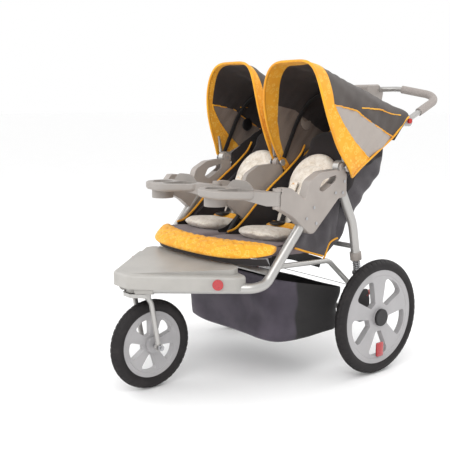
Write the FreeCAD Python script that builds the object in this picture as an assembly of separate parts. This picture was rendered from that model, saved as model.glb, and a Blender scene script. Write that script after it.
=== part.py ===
import FreeCAD, Part
import math
import os
from FreeCAD import Vector

os.makedirs("parts", exist_ok=True)

# Twin jogging stroller, millimetres. It is drawn with the rear axle above y = 0 and saved with its
# origin on the floor under the middle of its length. +X is the children's left, -Y is forward.

# ---- wheels ----
REAR_RADIUS = 200.0
REAR_SECTION = 21.0
FRONT_RADIUS = 149.0
FRONT_SECTION = 22.0
WHEELBASE = 690.0
TRACK_HALF = 368.0
RIM_DEPTH = 32.5
RIM_BAND = 25.0
RIM_CHAMFER = 4.0
RIM_HALF = 13.0
SPOKES = 5
SPOKE_HALF_DEPTH = 11.0
REAR_SPOKE_HUB_WIDTH = 40.0
REAR_SPOKE_RIM_WIDTH = 66.0
FRONT_SPOKE_HUB_WIDTH = 27.0
FRONT_SPOKE_RIM_WIDTH = 44.0
REAR_HUB_RADIUS = 50.0
FRONT_HUB_RADIUS = 34.0
HUB_BOSS_RADIUS = 27.0
REAR_HUB_HALF = 18.0
FRONT_HUB_HALF = 24.0
CAP_RADIUS = 30.0
CAP_HEIGHT = 9.0
CAP_WALL = 2.5

# ---- axles and fork ----
AXLE_TUBE_RADIUS = 11.0
STUB_RADIUS = 6.0
STUB_REACH = 19.0
FRONT_AXLE_RADIUS = 5.0
SWIVEL_TRAIL = 50.0
HEAD_RADIUS = 32.0
HEAD_BOTTOM = 334.0
HEAD_TOP = 372.0
KINGPIN_RADIUS = 10.0
KINGPIN_NUT = 15.0
CROWN_THICK = 12.0
CROWN_GAP = 2.0
FORK_HALF = 48.0
FORK_TUBE = 8.5
LUG_RADIUS = 13.0

# ---- frame ----
SIDE_X = 300.0
SIDE_TUBE = 16.0
TUBE_WALL = 1.8
LEG_TUBE = 15.5
RAIL_X = 288.0
RAIL_TUBE = 8.5
CROSS_TUBE = 9.0
REAR_CROSS_Y = -44.0
REAR_CROSS_Z = 440.0
POST_TUBE = 7.0
HEAD_TUBE_X = 40.0
HEAD_TUBE_Z = 352.0
FOOTREST_BOTTOM = 356.0
FOOTREST_TOP = 400.0
PLATE_IN = 286.0
PLATE_OUT = 320.0
CHEEK = 4.5
FOLD_ROOM = 72.0
CENTRE_PLATE_HALF = 9.5
ROD_RADIUS = 7.0
COLLAR_RADIUS = 20.0
COLLAR_LENGTH = 20.0
SPRING_MEAN = 12.0
SPRING_WIRE = 2.0
SPRING_TURNS = 5
SPRING_LENGTH = 42.0
PEDAL_Y = 12.0
PEDAL_Z = 262.0
PEDAL_HALF = 9.0
PEDAL_BARREL = 7.0
PEDAL_PIVOT = 3.0

# ---- folding joint, upper frame and handle ----
HUB_Y = -131.0
HUB_Z = 717.0
HUB_PIN = 6.0
HUB_DISC = 24.0
UPPER_X = 303.0
UPPER_TUBE = 10.5
TILT_Y = 211.0
TILT_Z = 865.0
TILT_DISC = 19.0
TILT_PIN = 5.0
BUTTON_RADIUS = 9.0
BUTTON_TRAVEL = 4.0
HANDLE_TUBE = 10.0
GRIP_RADIUS = 14.5
HANDLE_REACH = 400.0
HANDLE_RISE = 7.5
HANDLE_Z = 950.0

# ---- canopies ----
SHELL_RADIUS = 318.0
VISOR_RADIUS = 357.0
MID_BOW_RADIUS = 300.0
SHELL_SKIN = 2.0
SHELL_CORNER = 95.0
VISOR_CORNER = 115.0
PANEL_START = 110.0
SHELL_SPAN = (36.0, 96.0)
VISOR_SPAN = (93.0, 105.0)
MID_BOW_ANGLE = 64.0
BOW_WIRE = 2.2
BOW_LEAD = 3.4
EYE_RADIUS = 12.0

# ---- seats ----
SEAT_IN = 30.0
SEAT_OUT = 268.0
WING_THICK = 3.0
WING_GAP = 2.0
SLEEVE_RADIUS = 13.0

# ---- trays ----
TRAY_PIN_Y = -412.0
TRAY_TOP = 656.0
TRAY_THICK = 26.0
BARREL_DEPTH = 44.0
EAR_THICK = 10.0
EAR_RADIUS = 14.0
EAR_PIN = 4.0
CUP_RADIUS = 38.0
CUP_DEPTH = 58.0
CUP_WALL = 3.0

# ---- fits ----
RUN = 0.08
SEAT_FIT = 0.1
CLEAR = 0.5
SIDE_GAP = 0.6

SWIVEL_Y = -(WHEELBASE + SWIVEL_TRAIL)
STUB_END = TRACK_HALF + STUB_REACH
X_AXIS = Vector(1, 0, 0)
Z_AXIS = Vector(0, 0, 1)


def save(name, shape):
    """Writes a shape with the origin moved under the middle of the stroller's length."""
    placed = shape.copy()
    placed.translate(Vector(0, length_shift(), 0))
    placed.exportStep(f"parts/{name}.step")


def length_shift():
    """Moves the middle of the length, from the front tyre to the back of the grips, to y = 0."""
    left = handle_points()
    handle_back = rounded_path(left, HANDLE_BENDS + [0]).BoundBox.YMax + GRIP_RADIUS
    return (WHEELBASE + FRONT_RADIUS - handle_back) / 2


def both(shape):
    """A left piece and its twin on the right, as one group."""
    return group(shape, other_side(shape))


def other_side(shape):
    """The same piece on the other side of the middle plane."""
    return shape.mirror(Vector(0, 0, 0), X_AXIS)


def save_pair(name, shape):
    save(f"{name}_left", shape)
    save(f"{name}_right", other_side(shape))


def group(*shapes):
    return Part.makeCompound(list(shapes))


def fuse(first, *others):
    return first.fuse(list(others)).removeSplitter()


def bar(radius, x_from, x_to, y, z):
    """A round bar along X."""
    return Part.makeCylinder(radius, x_to - x_from, Vector(x_from, y, z), X_AXIS)


def pillar(radius, x, y, z_from, z_to):
    """A round bar along Z."""
    return Part.makeCylinder(radius, z_to - z_from, Vector(x, y, z_from), Z_AXIS)


def block(x_from, x_to, y_from, y_to, z_from, z_to):
    size = (x_to - x_from, y_to - y_from, z_to - z_from)
    return Part.makeBox(*size, Vector(x_from, y_from, z_from))


def rounded_path(points, bends, closed=False):
    """Straight runs joined by tangent arcs: bends gives the radius at each point."""
    count = len(points)
    starts = {}
    ends = {}
    arcs = {}
    for i in range(count):
        if not closed and i in (0, count - 1):
            starts[i] = ends[i] = points[i]
            continue
        here = points[i]
        back = (points[i - 1] - here).normalize()
        ahead = (points[(i + 1) % count] - here).normalize()
        half = back.getAngle(ahead) / 2
        run = bends[i] / math.tan(half)
        middle = (back + ahead).normalize()
        starts[i] = here + back * run
        ends[i] = here + ahead * run
        if run > 0.01:
            arcs[i] = here + middle * (bends[i] / math.sin(half) - bends[i])
    edges = []
    for i in range(count):
        if i in arcs:
            edges.append(Part.Arc(starts[i], arcs[i], ends[i]).toShape())
        if closed or i < count - 1:
            target = starts[(i + 1) % count]
            if ends[i].distanceToPoint(target) > 0.001:
                edges.append(Part.LineSegment(ends[i], target).toShape())
    return Part.Wire(edges)


def round_bar(points, bends, radius):
    """A solid round bar along a bent path."""
    path = rounded_path(points, bends)
    circle = Part.makeCircle(radius, points[0], points[1] - points[0])
    return path.makePipeShell([Part.Wire(circle)], True, False)


def tube(points, bends, radius, wall):
    return round_bar(points, bends, radius).cut(round_bar(points, bends, radius - wall))


def side_prism(outline, bends, x_from, x_to):
    """A slab across X with a rounded outline of (y, z) points."""
    points = [Vector(x_from, y, z) for y, z in outline]
    face = Part.Face(rounded_path(points, bends, closed=True))
    return face.extrude(Vector(x_to - x_from, 0, 0))


def plan_prism(outline, bends, z_from, z_to):
    """A slab across Z with a rounded outline of (x, y) points."""
    points = [Vector(x, y, z_from) for x, y in outline]
    face = Part.Face(rounded_path(points, bends, closed=True))
    return face.extrude(Vector(0, 0, z_to - z_from))


def mirrored_outline(half):
    """A full outline from its +X half, whose points run from front to back."""
    return half + [(-x, y) for x, y in reversed(half)]


# ---- wheels -------------------------------------------------------------------------------------
def tyre(x, y, radius, section):
    ring = Part.makeTorus(radius - section, section, Vector(x, y, radius), X_AXIS)
    seat = bar(radius - RIM_DEPTH + SEAT_FIT, x - 2 * section, x + 2 * section, y, radius)
    return ring.cut(seat)


def rim(x, y, radius, hub_radius, hub_half, bore, hub_width, rim_width):
    """Five wide spokes between a hub and a chamfered band, bored for its stub axle."""
    outer = radius - RIM_DEPTH
    inner = outer - RIM_BAND
    profile = [
        (-RIM_HALF, outer),
        (RIM_HALF, outer),
        (RIM_HALF, inner + RIM_CHAMFER),
        (RIM_HALF - RIM_CHAMFER, inner),
        (-RIM_HALF + RIM_CHAMFER, inner),
        (-RIM_HALF, inner + RIM_CHAMFER),
    ]
    points = [Vector(x + a, y, radius + r) for a, r in profile]
    band = Part.Face(Part.makePolygon(points + points[:1]))
    band = band.revolve(Vector(x, y, radius), X_AXIS, 360)
    boss = bar(HUB_BOSS_RADIUS, x - hub_half, x + hub_half, y, radius)
    disc = bar(inner + RIM_CHAMFER, x - SPOKE_HALF_DEPTH, x + SPOKE_HALF_DEPTH, y, radius)
    half_turn = math.pi / SPOKES
    low = hub_radius
    high = inner - 1
    low_half = low * math.sin(half_turn) - hub_width / 2 * math.cos(half_turn)
    high_half = high * math.sin(half_turn) - rim_width / 2
    corner = inner * 0.09
    windows = []
    for k in range(SPOKES):
        side = [(-low_half, low), (-high_half, high * 0.88)]
        corners = side + [(0, high * 1.03)] + [(-a, r) for a, r in side[::-1]]
        outline = [(y + a, radius + r) for a, r in corners]
        bends = [corner / 2, corner, high * 0.58, corner, corner / 2]
        window = side_prism(outline, bends, x - 2 * hub_half, x + 2 * hub_half)
        window.rotate(Vector(x, y, radius), X_AXIS, (k + 0.5) * 360 / SPOKES)
        windows.append(window)
    wheel = fuse(band, disc, boss)
    for window in windows:
        wheel = wheel.cut(window)
    return wheel.cut(bar(bore, x - 2 * hub_half, x + 2 * hub_half, y, radius))


def hub_cap(x, y, z):
    """A hollow dome over the axle end."""
    start = x + REAR_HUB_HALF
    dome = bar(CAP_RADIUS, start, start + CAP_HEIGHT, y, z)
    dome = dome.makeFillet(CAP_HEIGHT / 3, [dome.Edges[0]])
    hollow = bar(CAP_RADIUS - CAP_WALL, start - 1, start + CAP_HEIGHT - CAP_WALL, y, z)
    return dome.cut(hollow)


# ---- frame paths --------------------------------------------------------------------------------
def side_tube_path():
    """Out from the steering head, round under the seat and up into the side plate."""
    points = [
        Vector(HEAD_TUBE_X, SWIVEL_Y - 17, HEAD_TUBE_Z),
        Vector(SIDE_X, -497, 360),
        Vector(SIDE_X, -452, 368),
        Vector(SIDE_X, -262, 591),
    ]
    return points, [0, 55, 48, 0]


def leg_direction():
    return (Vector(0, 0, REAR_RADIUS) - Vector(0, -58, 522)).normalize()


def leg_point(height):
    """A point on the rear leg's straight lower axis."""
    down = leg_direction()
    return Vector(SIDE_X, 0, REAR_RADIUS) + down * ((height - REAR_RADIUS) / down.z)


def leg_bar(radius, z_from, z_to):
    start = leg_point(z_from)
    return Part.makeCylinder(radius, (leg_point(z_to) - start).Length, start, leg_direction() * -1)


def rear_leg_path():
    return [Vector(SIDE_X, -121, 646), Vector(SIDE_X, -58, 522), leg_point(400)], [0, 150, 0]


def rail_path():
    points = [(-392, 414), (-160, 404), (-50, 306)]
    return [Vector(RAIL_X, y, z) for y, z in points], [0, 45, 0]


def side_tube_core(gap):
    points, bends = side_tube_path()
    return round_bar(points, bends, SIDE_TUBE + gap)


def rear_leg_core(gap):
    points, bends = rear_leg_path()
    return round_bar(points, bends, LEG_TUBE + gap)


# ---- chassis ------------------------------------------------------------------------------------
def frame_tubes():
    points, bends = side_tube_path()
    save_pair("side_tube", tube(points, bends, SIDE_TUBE, TUBE_WALL))
    points, bends = rear_leg_path()
    leg = tube(points, bends, LEG_TUBE, TUBE_WALL)
    collar_top = 400 + COLLAR_LENGTH
    collar = leg_bar(COLLAR_RADIUS, 400 - 6, collar_top).cut(leg_bar(LEG_TUBE + SEAT_FIT, 400, 500))
    save_pair("rear_leg", leg)
    save("leg_collars", both(collar.cut(leg_bar(ROD_RADIUS + RUN, 300, 500))))
    points, bends = rail_path()
    rail = tube(points, bends, RAIL_TUBE, TUBE_WALL)
    save("lower_rails", both(rail.cut(side_tube_core(CLEAR))))


def cross_tubes():
    side_tubes = both(side_tube_core(CLEAR))
    front = bar(CROSS_TUBE, -SIDE_X, SIDE_X, -428, 398)
    front = front.cut(bar(CROSS_TUBE - TUBE_WALL, -SIDE_X, SIDE_X, -428, 398)).cut(side_tubes)
    legs = both(rear_leg_core(CLEAR))
    rear = bar(CROSS_TUBE, -SIDE_X, SIDE_X, REAR_CROSS_Y, REAR_CROSS_Z)
    rear = rear.cut(bar(CROSS_TUBE - TUBE_WALL, -SIDE_X, SIDE_X, REAR_CROSS_Y, REAR_CROSS_Z)).cut(legs)
    save("cross_tubes", group(keep_middle(front), keep_middle(rear)))


def keep_middle(shape):
    """The solid that crosses the middle plane."""
    return max(shape.Solids, key=lambda solid: solid.Volume)


def steering_head():
    head = pillar(HEAD_RADIUS, 0, SWIVEL_Y, HEAD_BOTTOM, HEAD_TOP)
    points, bends = side_tube_path()
    along = (points[1] - points[0]).normalize()
    sleeve = Part.makeCylinder(SIDE_TUBE + 3.5, 58, points[0] - along * 10, along)
    sleeve = sleeve.common(block(-200, 200, -900, -500, HEAD_BOTTOM, 500))
    head = fuse(head, sleeve, other_side(sleeve))
    head = head.cut(side_tube_core(SEAT_FIT))
    head = head.cut(other_side(side_tube_core(SEAT_FIT)))
    save("steering_head", head.cut(pillar(KINGPIN_RADIUS + RUN, 0, SWIVEL_Y, 300, 400)))


def footrest():
    """A hollow rim over the side tubes, with a plateau that slopes up towards the seat."""
    half = [(45, -800), (283, -552), (276, -512), (212, -494)]
    bends = [38, 22, 16, 14]
    rim_part = plan_prism(mirrored_outline(half), bends + bends[::-1], FOOTREST_BOTTOM, FOOTREST_TOP)
    top = [e for e in rim_part.Edges if e.BoundBox.ZMin > FOOTREST_TOP - 0.01]
    rim_part = rim_part.makeFillet(10, top)
    inset = [(34, -772), (246, -540), (238, -514), (198, -500)]
    plateau = plan_prism(mirrored_outline(inset), [24, 16, 12, 10, 10, 12, 16, 24], FOOTREST_TOP - 8, 440)
    slope = block(-300, 300, 0, 400, 0, 60)
    slope.rotate(Vector(0, 0, 0), X_AXIS, 4.2)
    slope.translate(Vector(0, -776, FOOTREST_TOP))
    body = fuse(rim_part, plateau.cut(slope))
    cavity = [(36, -792), (268, -550), (264, -518), (206, -502)]
    cavity_bends = [30, 12, 8, 6, 6, 8, 12, 30]
    body = body.cut(plan_prism(mirrored_outline(cavity), cavity_bends, 300, FOOTREST_TOP - 12))
    body = body.cut(side_tube_core(CLEAR)).cut(other_side(side_tube_core(CLEAR)))
    save("footrest", keep_middle(body))
    normal = Vector(248, -238, 0).normalize()
    centre = Vector(240, -596.8, FOOTREST_BOTTOM + 20)
    lens = Part.makeCylinder(17, 5, centre + normal * 0.2, normal)
    save("footrest_reflectors", both(lens))


PLATE_OUTLINE = [
    (-398, 667), (-366, 667), (-305, 624), (-284, 682), (-232, 709), (-160, 713), (-113, 700),
    (-112, 622), (-150, 616), (-272, 502), (-352, 570), (-443, 618),
]
PLATE_BENDS = [4, 40, 5, 30, 40, 30, 10, 10, 12, 26, 60, 4]
HUB_BOSS = 17.0


def plate_blank(x_from, x_to):
    """The bracket's outline: tray socket in front, arched armrest, folding joint and two tube sockets."""
    slab = side_prism(PLATE_OUTLINE, PLATE_BENDS, x_from, x_to)
    return fuse(slab, bar(HUB_BOSS, x_from, x_to, HUB_Y, HUB_Z))


def tray_ears(x):
    """Two ears and a pin at the front of a plate, where a tray's barrel turns."""
    barrel_bottom = TRAY_TOP - BARREL_DEPTH
    ear_top = TRAY_TOP + EAR_THICK
    ear_bottom = barrel_bottom - EAR_THICK
    top = pillar(EAR_RADIUS, x, TRAY_PIN_Y, TRAY_TOP + SIDE_GAP, ear_top)
    bottom = pillar(EAR_RADIUS, x, TRAY_PIN_Y, ear_bottom, barrel_bottom - SIDE_GAP)
    return [top, bottom, pillar(EAR_PIN, x, TRAY_PIN_Y, ear_bottom, ear_top)]


def with_tray_socket(plate, x):
    """Cuts the barrel's room out of a plate and adds the ears and the pin."""
    barrel_bottom = TRAY_TOP - BARREL_DEPTH
    swept = pillar(EAR_RADIUS + 3, x, TRAY_PIN_Y, barrel_bottom - SIDE_GAP, TRAY_TOP + SIDE_GAP)
    front = block(x - 60, x + 60, TRAY_PIN_Y - 60, TRAY_PIN_Y, TRAY_TOP - 80, TRAY_TOP + 50)
    return fuse(plate.cut(front).cut(swept), *tray_ears(x))


def side_plate(with_tray):
    plate = plate_blank(PLATE_IN, PLATE_OUT)
    outer_edges = [e for e in plate.Edges if e.BoundBox.XMin > PLATE_OUT - 0.01]
    plate = plate.makeFillet(4, outer_edges)
    hole = [(-246, 650), (-228, 682), (-165, 696), (-162, 680), (-200, 656), (-226, 644)]
    plate = plate.cut(side_prism(hole, [8, 22, 5, 12, 20, 8], PLATE_IN - 1, PLATE_OUT + 1))
    if with_tray:
        plate = with_tray_socket(plate, UPPER_X)
    plate = plate.cut(side_tube_core(SEAT_FIT)).cut(rear_leg_core(SEAT_FIT))
    slot = bar(FOLD_ROOM, PLATE_IN + CHEEK, PLATE_OUT - CHEEK, HUB_Y, HUB_Z)
    plate = plate.cut(slot)
    return keep_middle(plate.cut(bar(HUB_PIN + SEAT_FIT, 200, 400, HUB_Y, HUB_Z)))


def side_plates():
    save("side_plate_left", side_plate(True))
    save("side_plate_right", other_side(side_plate(False)))
    places = [(-266, 596), (-299, 563), (-255, 544), (-167, 637), (-133, 635), (-125, 672)]
    heads = []
    for y, z in places:
        rivet = bar(5, PLATE_OUT + SEAT_FIT, PLATE_OUT + 2, y, z)
        heads += [rivet, other_side(rivet)]
    save("plate_rivets", group(*heads))


def centre_armrest():
    """A narrower bracket between the seats, on a post from the front cross tube."""
    plate = plate_blank(-CENTRE_PLATE_HALF, CENTRE_PLATE_HALF)
    plate = with_tray_socket(plate, 0)
    post_points = [Vector(0, -421, 408), Vector(0, -270, 596)]
    plate = plate.cut(round_bar(post_points, [0, 0], POST_TUBE + SEAT_FIT))
    plate = plate.cut(bar(HUB_PIN + SEAT_FIT, -30, 30, HUB_Y, HUB_Z))
    save("centre_armrest", keep_middle(plate))
    post = tube(post_points, [0, 0], POST_TUBE, TUBE_WALL)
    save("centre_post", post.cut(bar(CROSS_TUBE + CLEAR, -50, 50, -428, 398)))


def hub_bolts():
    """The folding joint's bolts, long enough to carry the canopy bows, and the middle one."""
    side = bar(HUB_PIN, PLATE_IN, 338, HUB_Y, HUB_Z)
    head = bar(EYE_RADIUS, 337.4, 341, HUB_Y, HUB_Z)
    side = fuse(side, head)
    middle = bar(HUB_PIN, -26, 26, HUB_Y, HUB_Z)
    ends = [bar(EYE_RADIUS, 25, 28, HUB_Y, HUB_Z), bar(EYE_RADIUS, -28, -25, HUB_Y, HUB_Z)]
    save("hub_bolts", group(side, fuse(middle, *ends), other_side(side)))


# ---- rear suspension ----------------------------------------------------------------------------
def spring():
    """A coil between the leg's collar and the axle bracket."""
    bottom = leg_point(394 - SPRING_LENGTH + 2.2)
    pitch = (SPRING_LENGTH - 4.4 - 2 * SPRING_WIRE) / SPRING_TURNS
    helix = Part.makeHelix(pitch, pitch * SPRING_TURNS, SPRING_MEAN)
    circle = Part.makeCircle(SPRING_WIRE, Vector(SPRING_MEAN, 0, 0), Vector(0, 1, 0))
    coil = Part.Wire(helix.Edges).makePipeShell([Part.Wire(circle)], True, True)
    up = leg_direction() * -1
    coil.translate(Vector(0, 0, SPRING_WIRE))
    coil.rotate(Vector(0, 0, 0), X_AXIS, math.degrees(math.atan2(-up.y, up.z)))
    coil.translate(bottom)
    return coil


def axle_bracket():
    """A casting round the stub axle with a cup for the spring and ears for the brake pedal."""
    cup_top = 394 - SPRING_LENGTH
    stem = leg_bar(15, 230, cup_top - 4)
    cup = leg_bar(18, cup_top - 8, cup_top)
    outline = [(-34, 172), (-38, 250), (-22, 286), (14, 286), (24, 250), (26, 172)]
    casing = side_prism(outline, [12, 14, 14, 12, 16, 12], SIDE_X - 15, SIDE_X + 15)
    body = fuse(stem, cup, casing)
    body = body.cut(leg_bar(ROD_RADIUS + SEAT_FIT, 290, 400))
    room = PEDAL_HALF + SIDE_GAP
    body = body.cut(block(SIDE_X - room, SIDE_X + room, PEDAL_Y - 16, 60, 236, 300))
    body = body.cut(bar(PEDAL_PIVOT + RUN, 200, 400, PEDAL_Y, PEDAL_Z))
    body = body.cut(bar(AXLE_TUBE_RADIUS + SEAT_FIT, 200, SIDE_X - 15, 0, REAR_RADIUS))
    return keep_middle(body.cut(bar(STUB_RADIUS + SEAT_FIT, 200, 400, 0, REAR_RADIUS)))


def rear_axle():
    tube_part = bar(AXLE_TUBE_RADIUS, -284, 284, 0, REAR_RADIUS)
    stubs = bar(STUB_RADIUS, -STUB_END, STUB_END, 0, REAR_RADIUS)
    spacer = bar(AXLE_TUBE_RADIUS, 316, TRACK_HALF - REAR_HUB_HALF - SIDE_GAP, 0, REAR_RADIUS)
    axle = fuse(stubs, tube_part, spacer, other_side(spacer))
    save("rear_axle", axle)
    save("axle_brackets", both(axle_bracket()))
    save("shock_rods", both(leg_bar(ROD_RADIUS, 292, 470)))
    save("shock_springs", both(spring()))


def brake_pedal():
    """A foot pedal with moulded pivots that turn in the axle bracket."""
    barrel = bar(PEDAL_BARREL, SIDE_X - PEDAL_HALF, SIDE_X + PEDAL_HALF, PEDAL_Y, PEDAL_Z)
    outline = [(10, 256), (62, 266), (64, 276), (12, 269)]
    pad = side_prism(outline, [1, 3, 3, 1], SIDE_X - PEDAL_HALF, SIDE_X + PEDAL_HALF)
    pivots = bar(PEDAL_PIVOT, SIDE_X - 14.5, SIDE_X + 14.5, PEDAL_Y, PEDAL_Z)
    return fuse(barrel, pad, pivots)


# ---- fork ---------------------------------------------------------------------------------------
def fork():
    crown_top = HEAD_BOTTOM - CROWN_GAP
    crown_bottom = crown_top - CROWN_THICK
    half = [(20, SWIVEL_Y - 38), (58, SWIVEL_Y - 4), (58, SWIVEL_Y + 20), (20, SWIVEL_Y + 26)]
    crown = plan_prism(mirrored_outline(half), [12, 12, 10, 8, 8, 10, 12, 12], crown_bottom, crown_top)
    leg_points = [
        Vector(FORK_HALF, SWIVEL_Y + 6, crown_bottom + 4),
        Vector(FORK_HALF, SWIVEL_Y + 24, 300),
        Vector(FORK_HALF, -WHEELBASE, FRONT_RADIUS),
    ]
    leg = round_bar(leg_points, [0, 40, 0], FORK_TUBE)
    lug = bar(LUG_RADIUS, FORK_HALF - 6, FORK_HALF + 6, -WHEELBASE, FRONT_RADIUS)
    body = fuse(crown, leg, lug, other_side(leg), other_side(lug))
    body = body.cut(pillar(KINGPIN_RADIUS + SEAT_FIT, 0, SWIVEL_Y, 300, 400))
    save("fork", body.cut(bar(FRONT_AXLE_RADIUS + SEAT_FIT, -90, 90, -WHEELBASE, FRONT_RADIUS)))
    shaft = pillar(KINGPIN_RADIUS, 0, SWIVEL_Y, crown_bottom, HEAD_TOP + 9)
    nut = pillar(KINGPIN_NUT, 0, SWIVEL_Y, HEAD_TOP + SIDE_GAP, HEAD_TOP + 9)
    save("kingpin", fuse(shaft, nut))
    axle = bar(FRONT_AXLE_RADIUS, -70, 70, -WHEELBASE, FRONT_RADIUS)
    nut = bar(10, FORK_HALF + FORK_TUBE + CLEAR, 66, -WHEELBASE, FRONT_RADIUS)
    save("front_axle", fuse(axle, nut, other_side(nut)))


def wheels():
    save_pair("rear_tyre", tyre(TRACK_HALF, 0, REAR_RADIUS, REAR_SECTION))
    spokes = (REAR_SPOKE_HUB_WIDTH, REAR_SPOKE_RIM_WIDTH)
    bore = STUB_RADIUS + RUN
    wheel = rim(TRACK_HALF, 0, REAR_RADIUS, REAR_HUB_RADIUS, REAR_HUB_HALF, bore, *spokes)
    save_pair("rear_rim", wheel)
    save_pair("hub_cap", hub_cap(TRACK_HALF, 0, REAR_RADIUS))
    save("front_tyre", tyre(0, -WHEELBASE, FRONT_RADIUS, FRONT_SECTION))
    spokes = (FRONT_SPOKE_HUB_WIDTH, FRONT_SPOKE_RIM_WIDTH)
    bore = FRONT_AXLE_RADIUS + RUN
    wheel = rim(0, -WHEELBASE, FRONT_RADIUS, FRONT_HUB_RADIUS, FRONT_HUB_HALF, bore, *spokes)
    wheel.rotate(Vector(0, -WHEELBASE, FRONT_RADIUS), X_AXIS, 62)
    save("front_rim", wheel)


# ---- upper frame and handle ---------------------------------------------------------------------
def upper_tube():
    hub = Vector(UPPER_X, HUB_Y, HUB_Z)
    end = Vector(UPPER_X, TILT_Y, TILT_Z)
    along = (end - hub).normalize()
    body = tube([hub + along * 15, end - along * (TILT_DISC - 3)], [0, 0], UPPER_TUBE, TUBE_WALL)
    disc = bar(HUB_DISC, PLATE_IN + CHEEK + SIDE_GAP, PLATE_OUT - CHEEK - SIDE_GAP, HUB_Y, HUB_Z)
    outer_reach = bar(TILT_DISC + CLEAR, UPPER_X, UPPER_X + 30, TILT_Y, TILT_Z)
    face_x = UPPER_X - UPPER_TUBE - 1
    cheek = bar(TILT_DISC, face_x, UPPER_X - SIDE_GAP / 2, TILT_Y, TILT_Z)
    pin = bar(TILT_PIN, UPPER_X - 3, UPPER_X + 3, TILT_Y, TILT_Z)
    body = fuse(body.cut(outer_reach), disc, cheek, pin)
    return body.cut(bar(HUB_PIN + RUN, 200, 400, HUB_Y, HUB_Z))


def handle_points():
    """The left half of the push bar, from its tilt joint to the middle."""
    return [
        Vector(UPPER_X, TILT_Y + 14, TILT_Z + HANDLE_RISE),
        Vector(UPPER_X, HANDLE_REACH, HANDLE_Z),
        Vector(158, HANDLE_REACH - 50, HANDLE_Z + 30),
        Vector(0, HANDLE_REACH - 78, HANDLE_Z + 35),
    ]


HANDLE_BENDS = [0, 45, 160]


def handle():
    left = handle_points()
    right = [Vector(-p.x, p.y, p.z) for p in reversed(left[:-1])]
    points = left[:-1] + right
    bends = HANDLE_BENDS + HANDLE_BENDS[::-1]
    body = tube(points, bends, HANDLE_TUBE, TUBE_WALL)
    cheek = bar(TILT_DISC, UPPER_X + SIDE_GAP / 2, UPPER_X + UPPER_TUBE, TILT_Y, TILT_Z)
    inner_reach = bar(TILT_DISC + CLEAR, UPPER_X - 30, UPPER_X, TILT_Y, TILT_Z)
    for side in (lambda s: s, other_side):
        body = body.cut(side(inner_reach))
        body = fuse(body, side(cheek))
        body = body.cut(side(bar(TILT_PIN + RUN, 250, UPPER_X + 3.2, TILT_Y, TILT_Z)))
        body = body.cut(side(bar(BUTTON_RADIUS + RUN, UPPER_X + 3.2, 400, TILT_Y, TILT_Z)))
    save("handle_tube", keep_middle(body))
    button_start = UPPER_X + 3.4 + BUTTON_TRAVEL
    button = bar(BUTTON_RADIUS, button_start, button_start + 10, TILT_Y, TILT_Z)
    save_pair("handle_button", button)
    lower = left[0] + (left[1] - left[0]) * 0.3
    inner = left[1] + (left[2] - left[1]) * 0.95
    sleeve = round_bar([lower, left[1], inner], [0, 45, 0], GRIP_RADIUS)
    core = round_bar(points, bends, HANDLE_TUBE + SEAT_FIT)
    save("grips", both(sleeve.cut(core)))
    return core


def console(core):
    """The parent tray clamped on the middle of the push bar."""
    outline = [(272, 996), (346, 1000), (372, 968), (352, 884), (316, 878), (290, 900)]
    body = side_prism(outline, [10, 16, 12, 12, 12, 20], -62, 62)
    body = body.makeFillet(6, [e for e in body.Edges if abs(abs(e.CenterOfMass.x) - 62) < 0.01])
    save("console", body.cut(core))


# ---- canopies -----------------------------------------------------------------------------------
def arch_wire(x_in, x_out, low, high, corner, angle):
    """An upside-down U across X, standing up from the hub line at an angle."""
    up = Vector(0, math.cos(math.radians(angle)), math.sin(math.radians(angle)))
    hub = Vector(0, HUB_Y, HUB_Z)
    corners = [(x_in, low), (x_in, high), (x_out, high), (x_out, low)]
    return [hub + X_AXIS * x + up * r for x, r in corners], [0, corner, corner, 0]


def canopy_shell(x_in, x_out, high, corner, span):
    """A skin swept about the hub line from one angle to another."""
    shells = []
    for inset in (0, SHELL_SKIN):
        low = PANEL_START - inset
        points, bends = arch_wire(x_in + inset, x_out - inset, low, high - inset, corner - inset, span[0])
        face = Part.Face(rounded_path(points, [1.0, bends[1], bends[2], 1.0], closed=True))
        shells.append(face.revolve(Vector(0, HUB_Y, HUB_Z), X_AXIS, span[1] - span[0]))
    return shells[0].cut(shells[1])


def bow(x_in, x_out, high, corner, angle, eyes):
    """A bent wire from hub to hub with an eye at each end."""
    points, bends = arch_wire(x_in, x_out, EYE_RADIUS - 2, high, corner, angle)
    wire = round_bar(points, bends, BOW_WIRE)
    rings = [bar(EYE_RADIUS, x - eyes, x + eyes, HUB_Y, HUB_Z) for x in (x_in, x_out)]
    return fuse(wire, *rings).cut(bar(HUB_PIN + RUN, -400, 400, HUB_Y, HUB_Z))


def canopies():
    save_pair("canopy_shell", canopy_shell(15.5, 331, SHELL_RADIUS, SHELL_CORNER, SHELL_SPAN))
    save_pair("canopy_visor", canopy_shell(11, 335, VISOR_RADIUS, VISOR_CORNER, VISOR_SPAN))
    save_pair("middle_bow", bow(20.5, 324.5, MID_BOW_RADIUS, SHELL_CORNER, MID_BOW_ANGLE, 1.5))
    save_pair("front_bow", bow(12.7, 334.5, VISOR_RADIUS + 5, VISOR_CORNER, VISOR_SPAN[1] + BOW_LEAD, 1.5))


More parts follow.
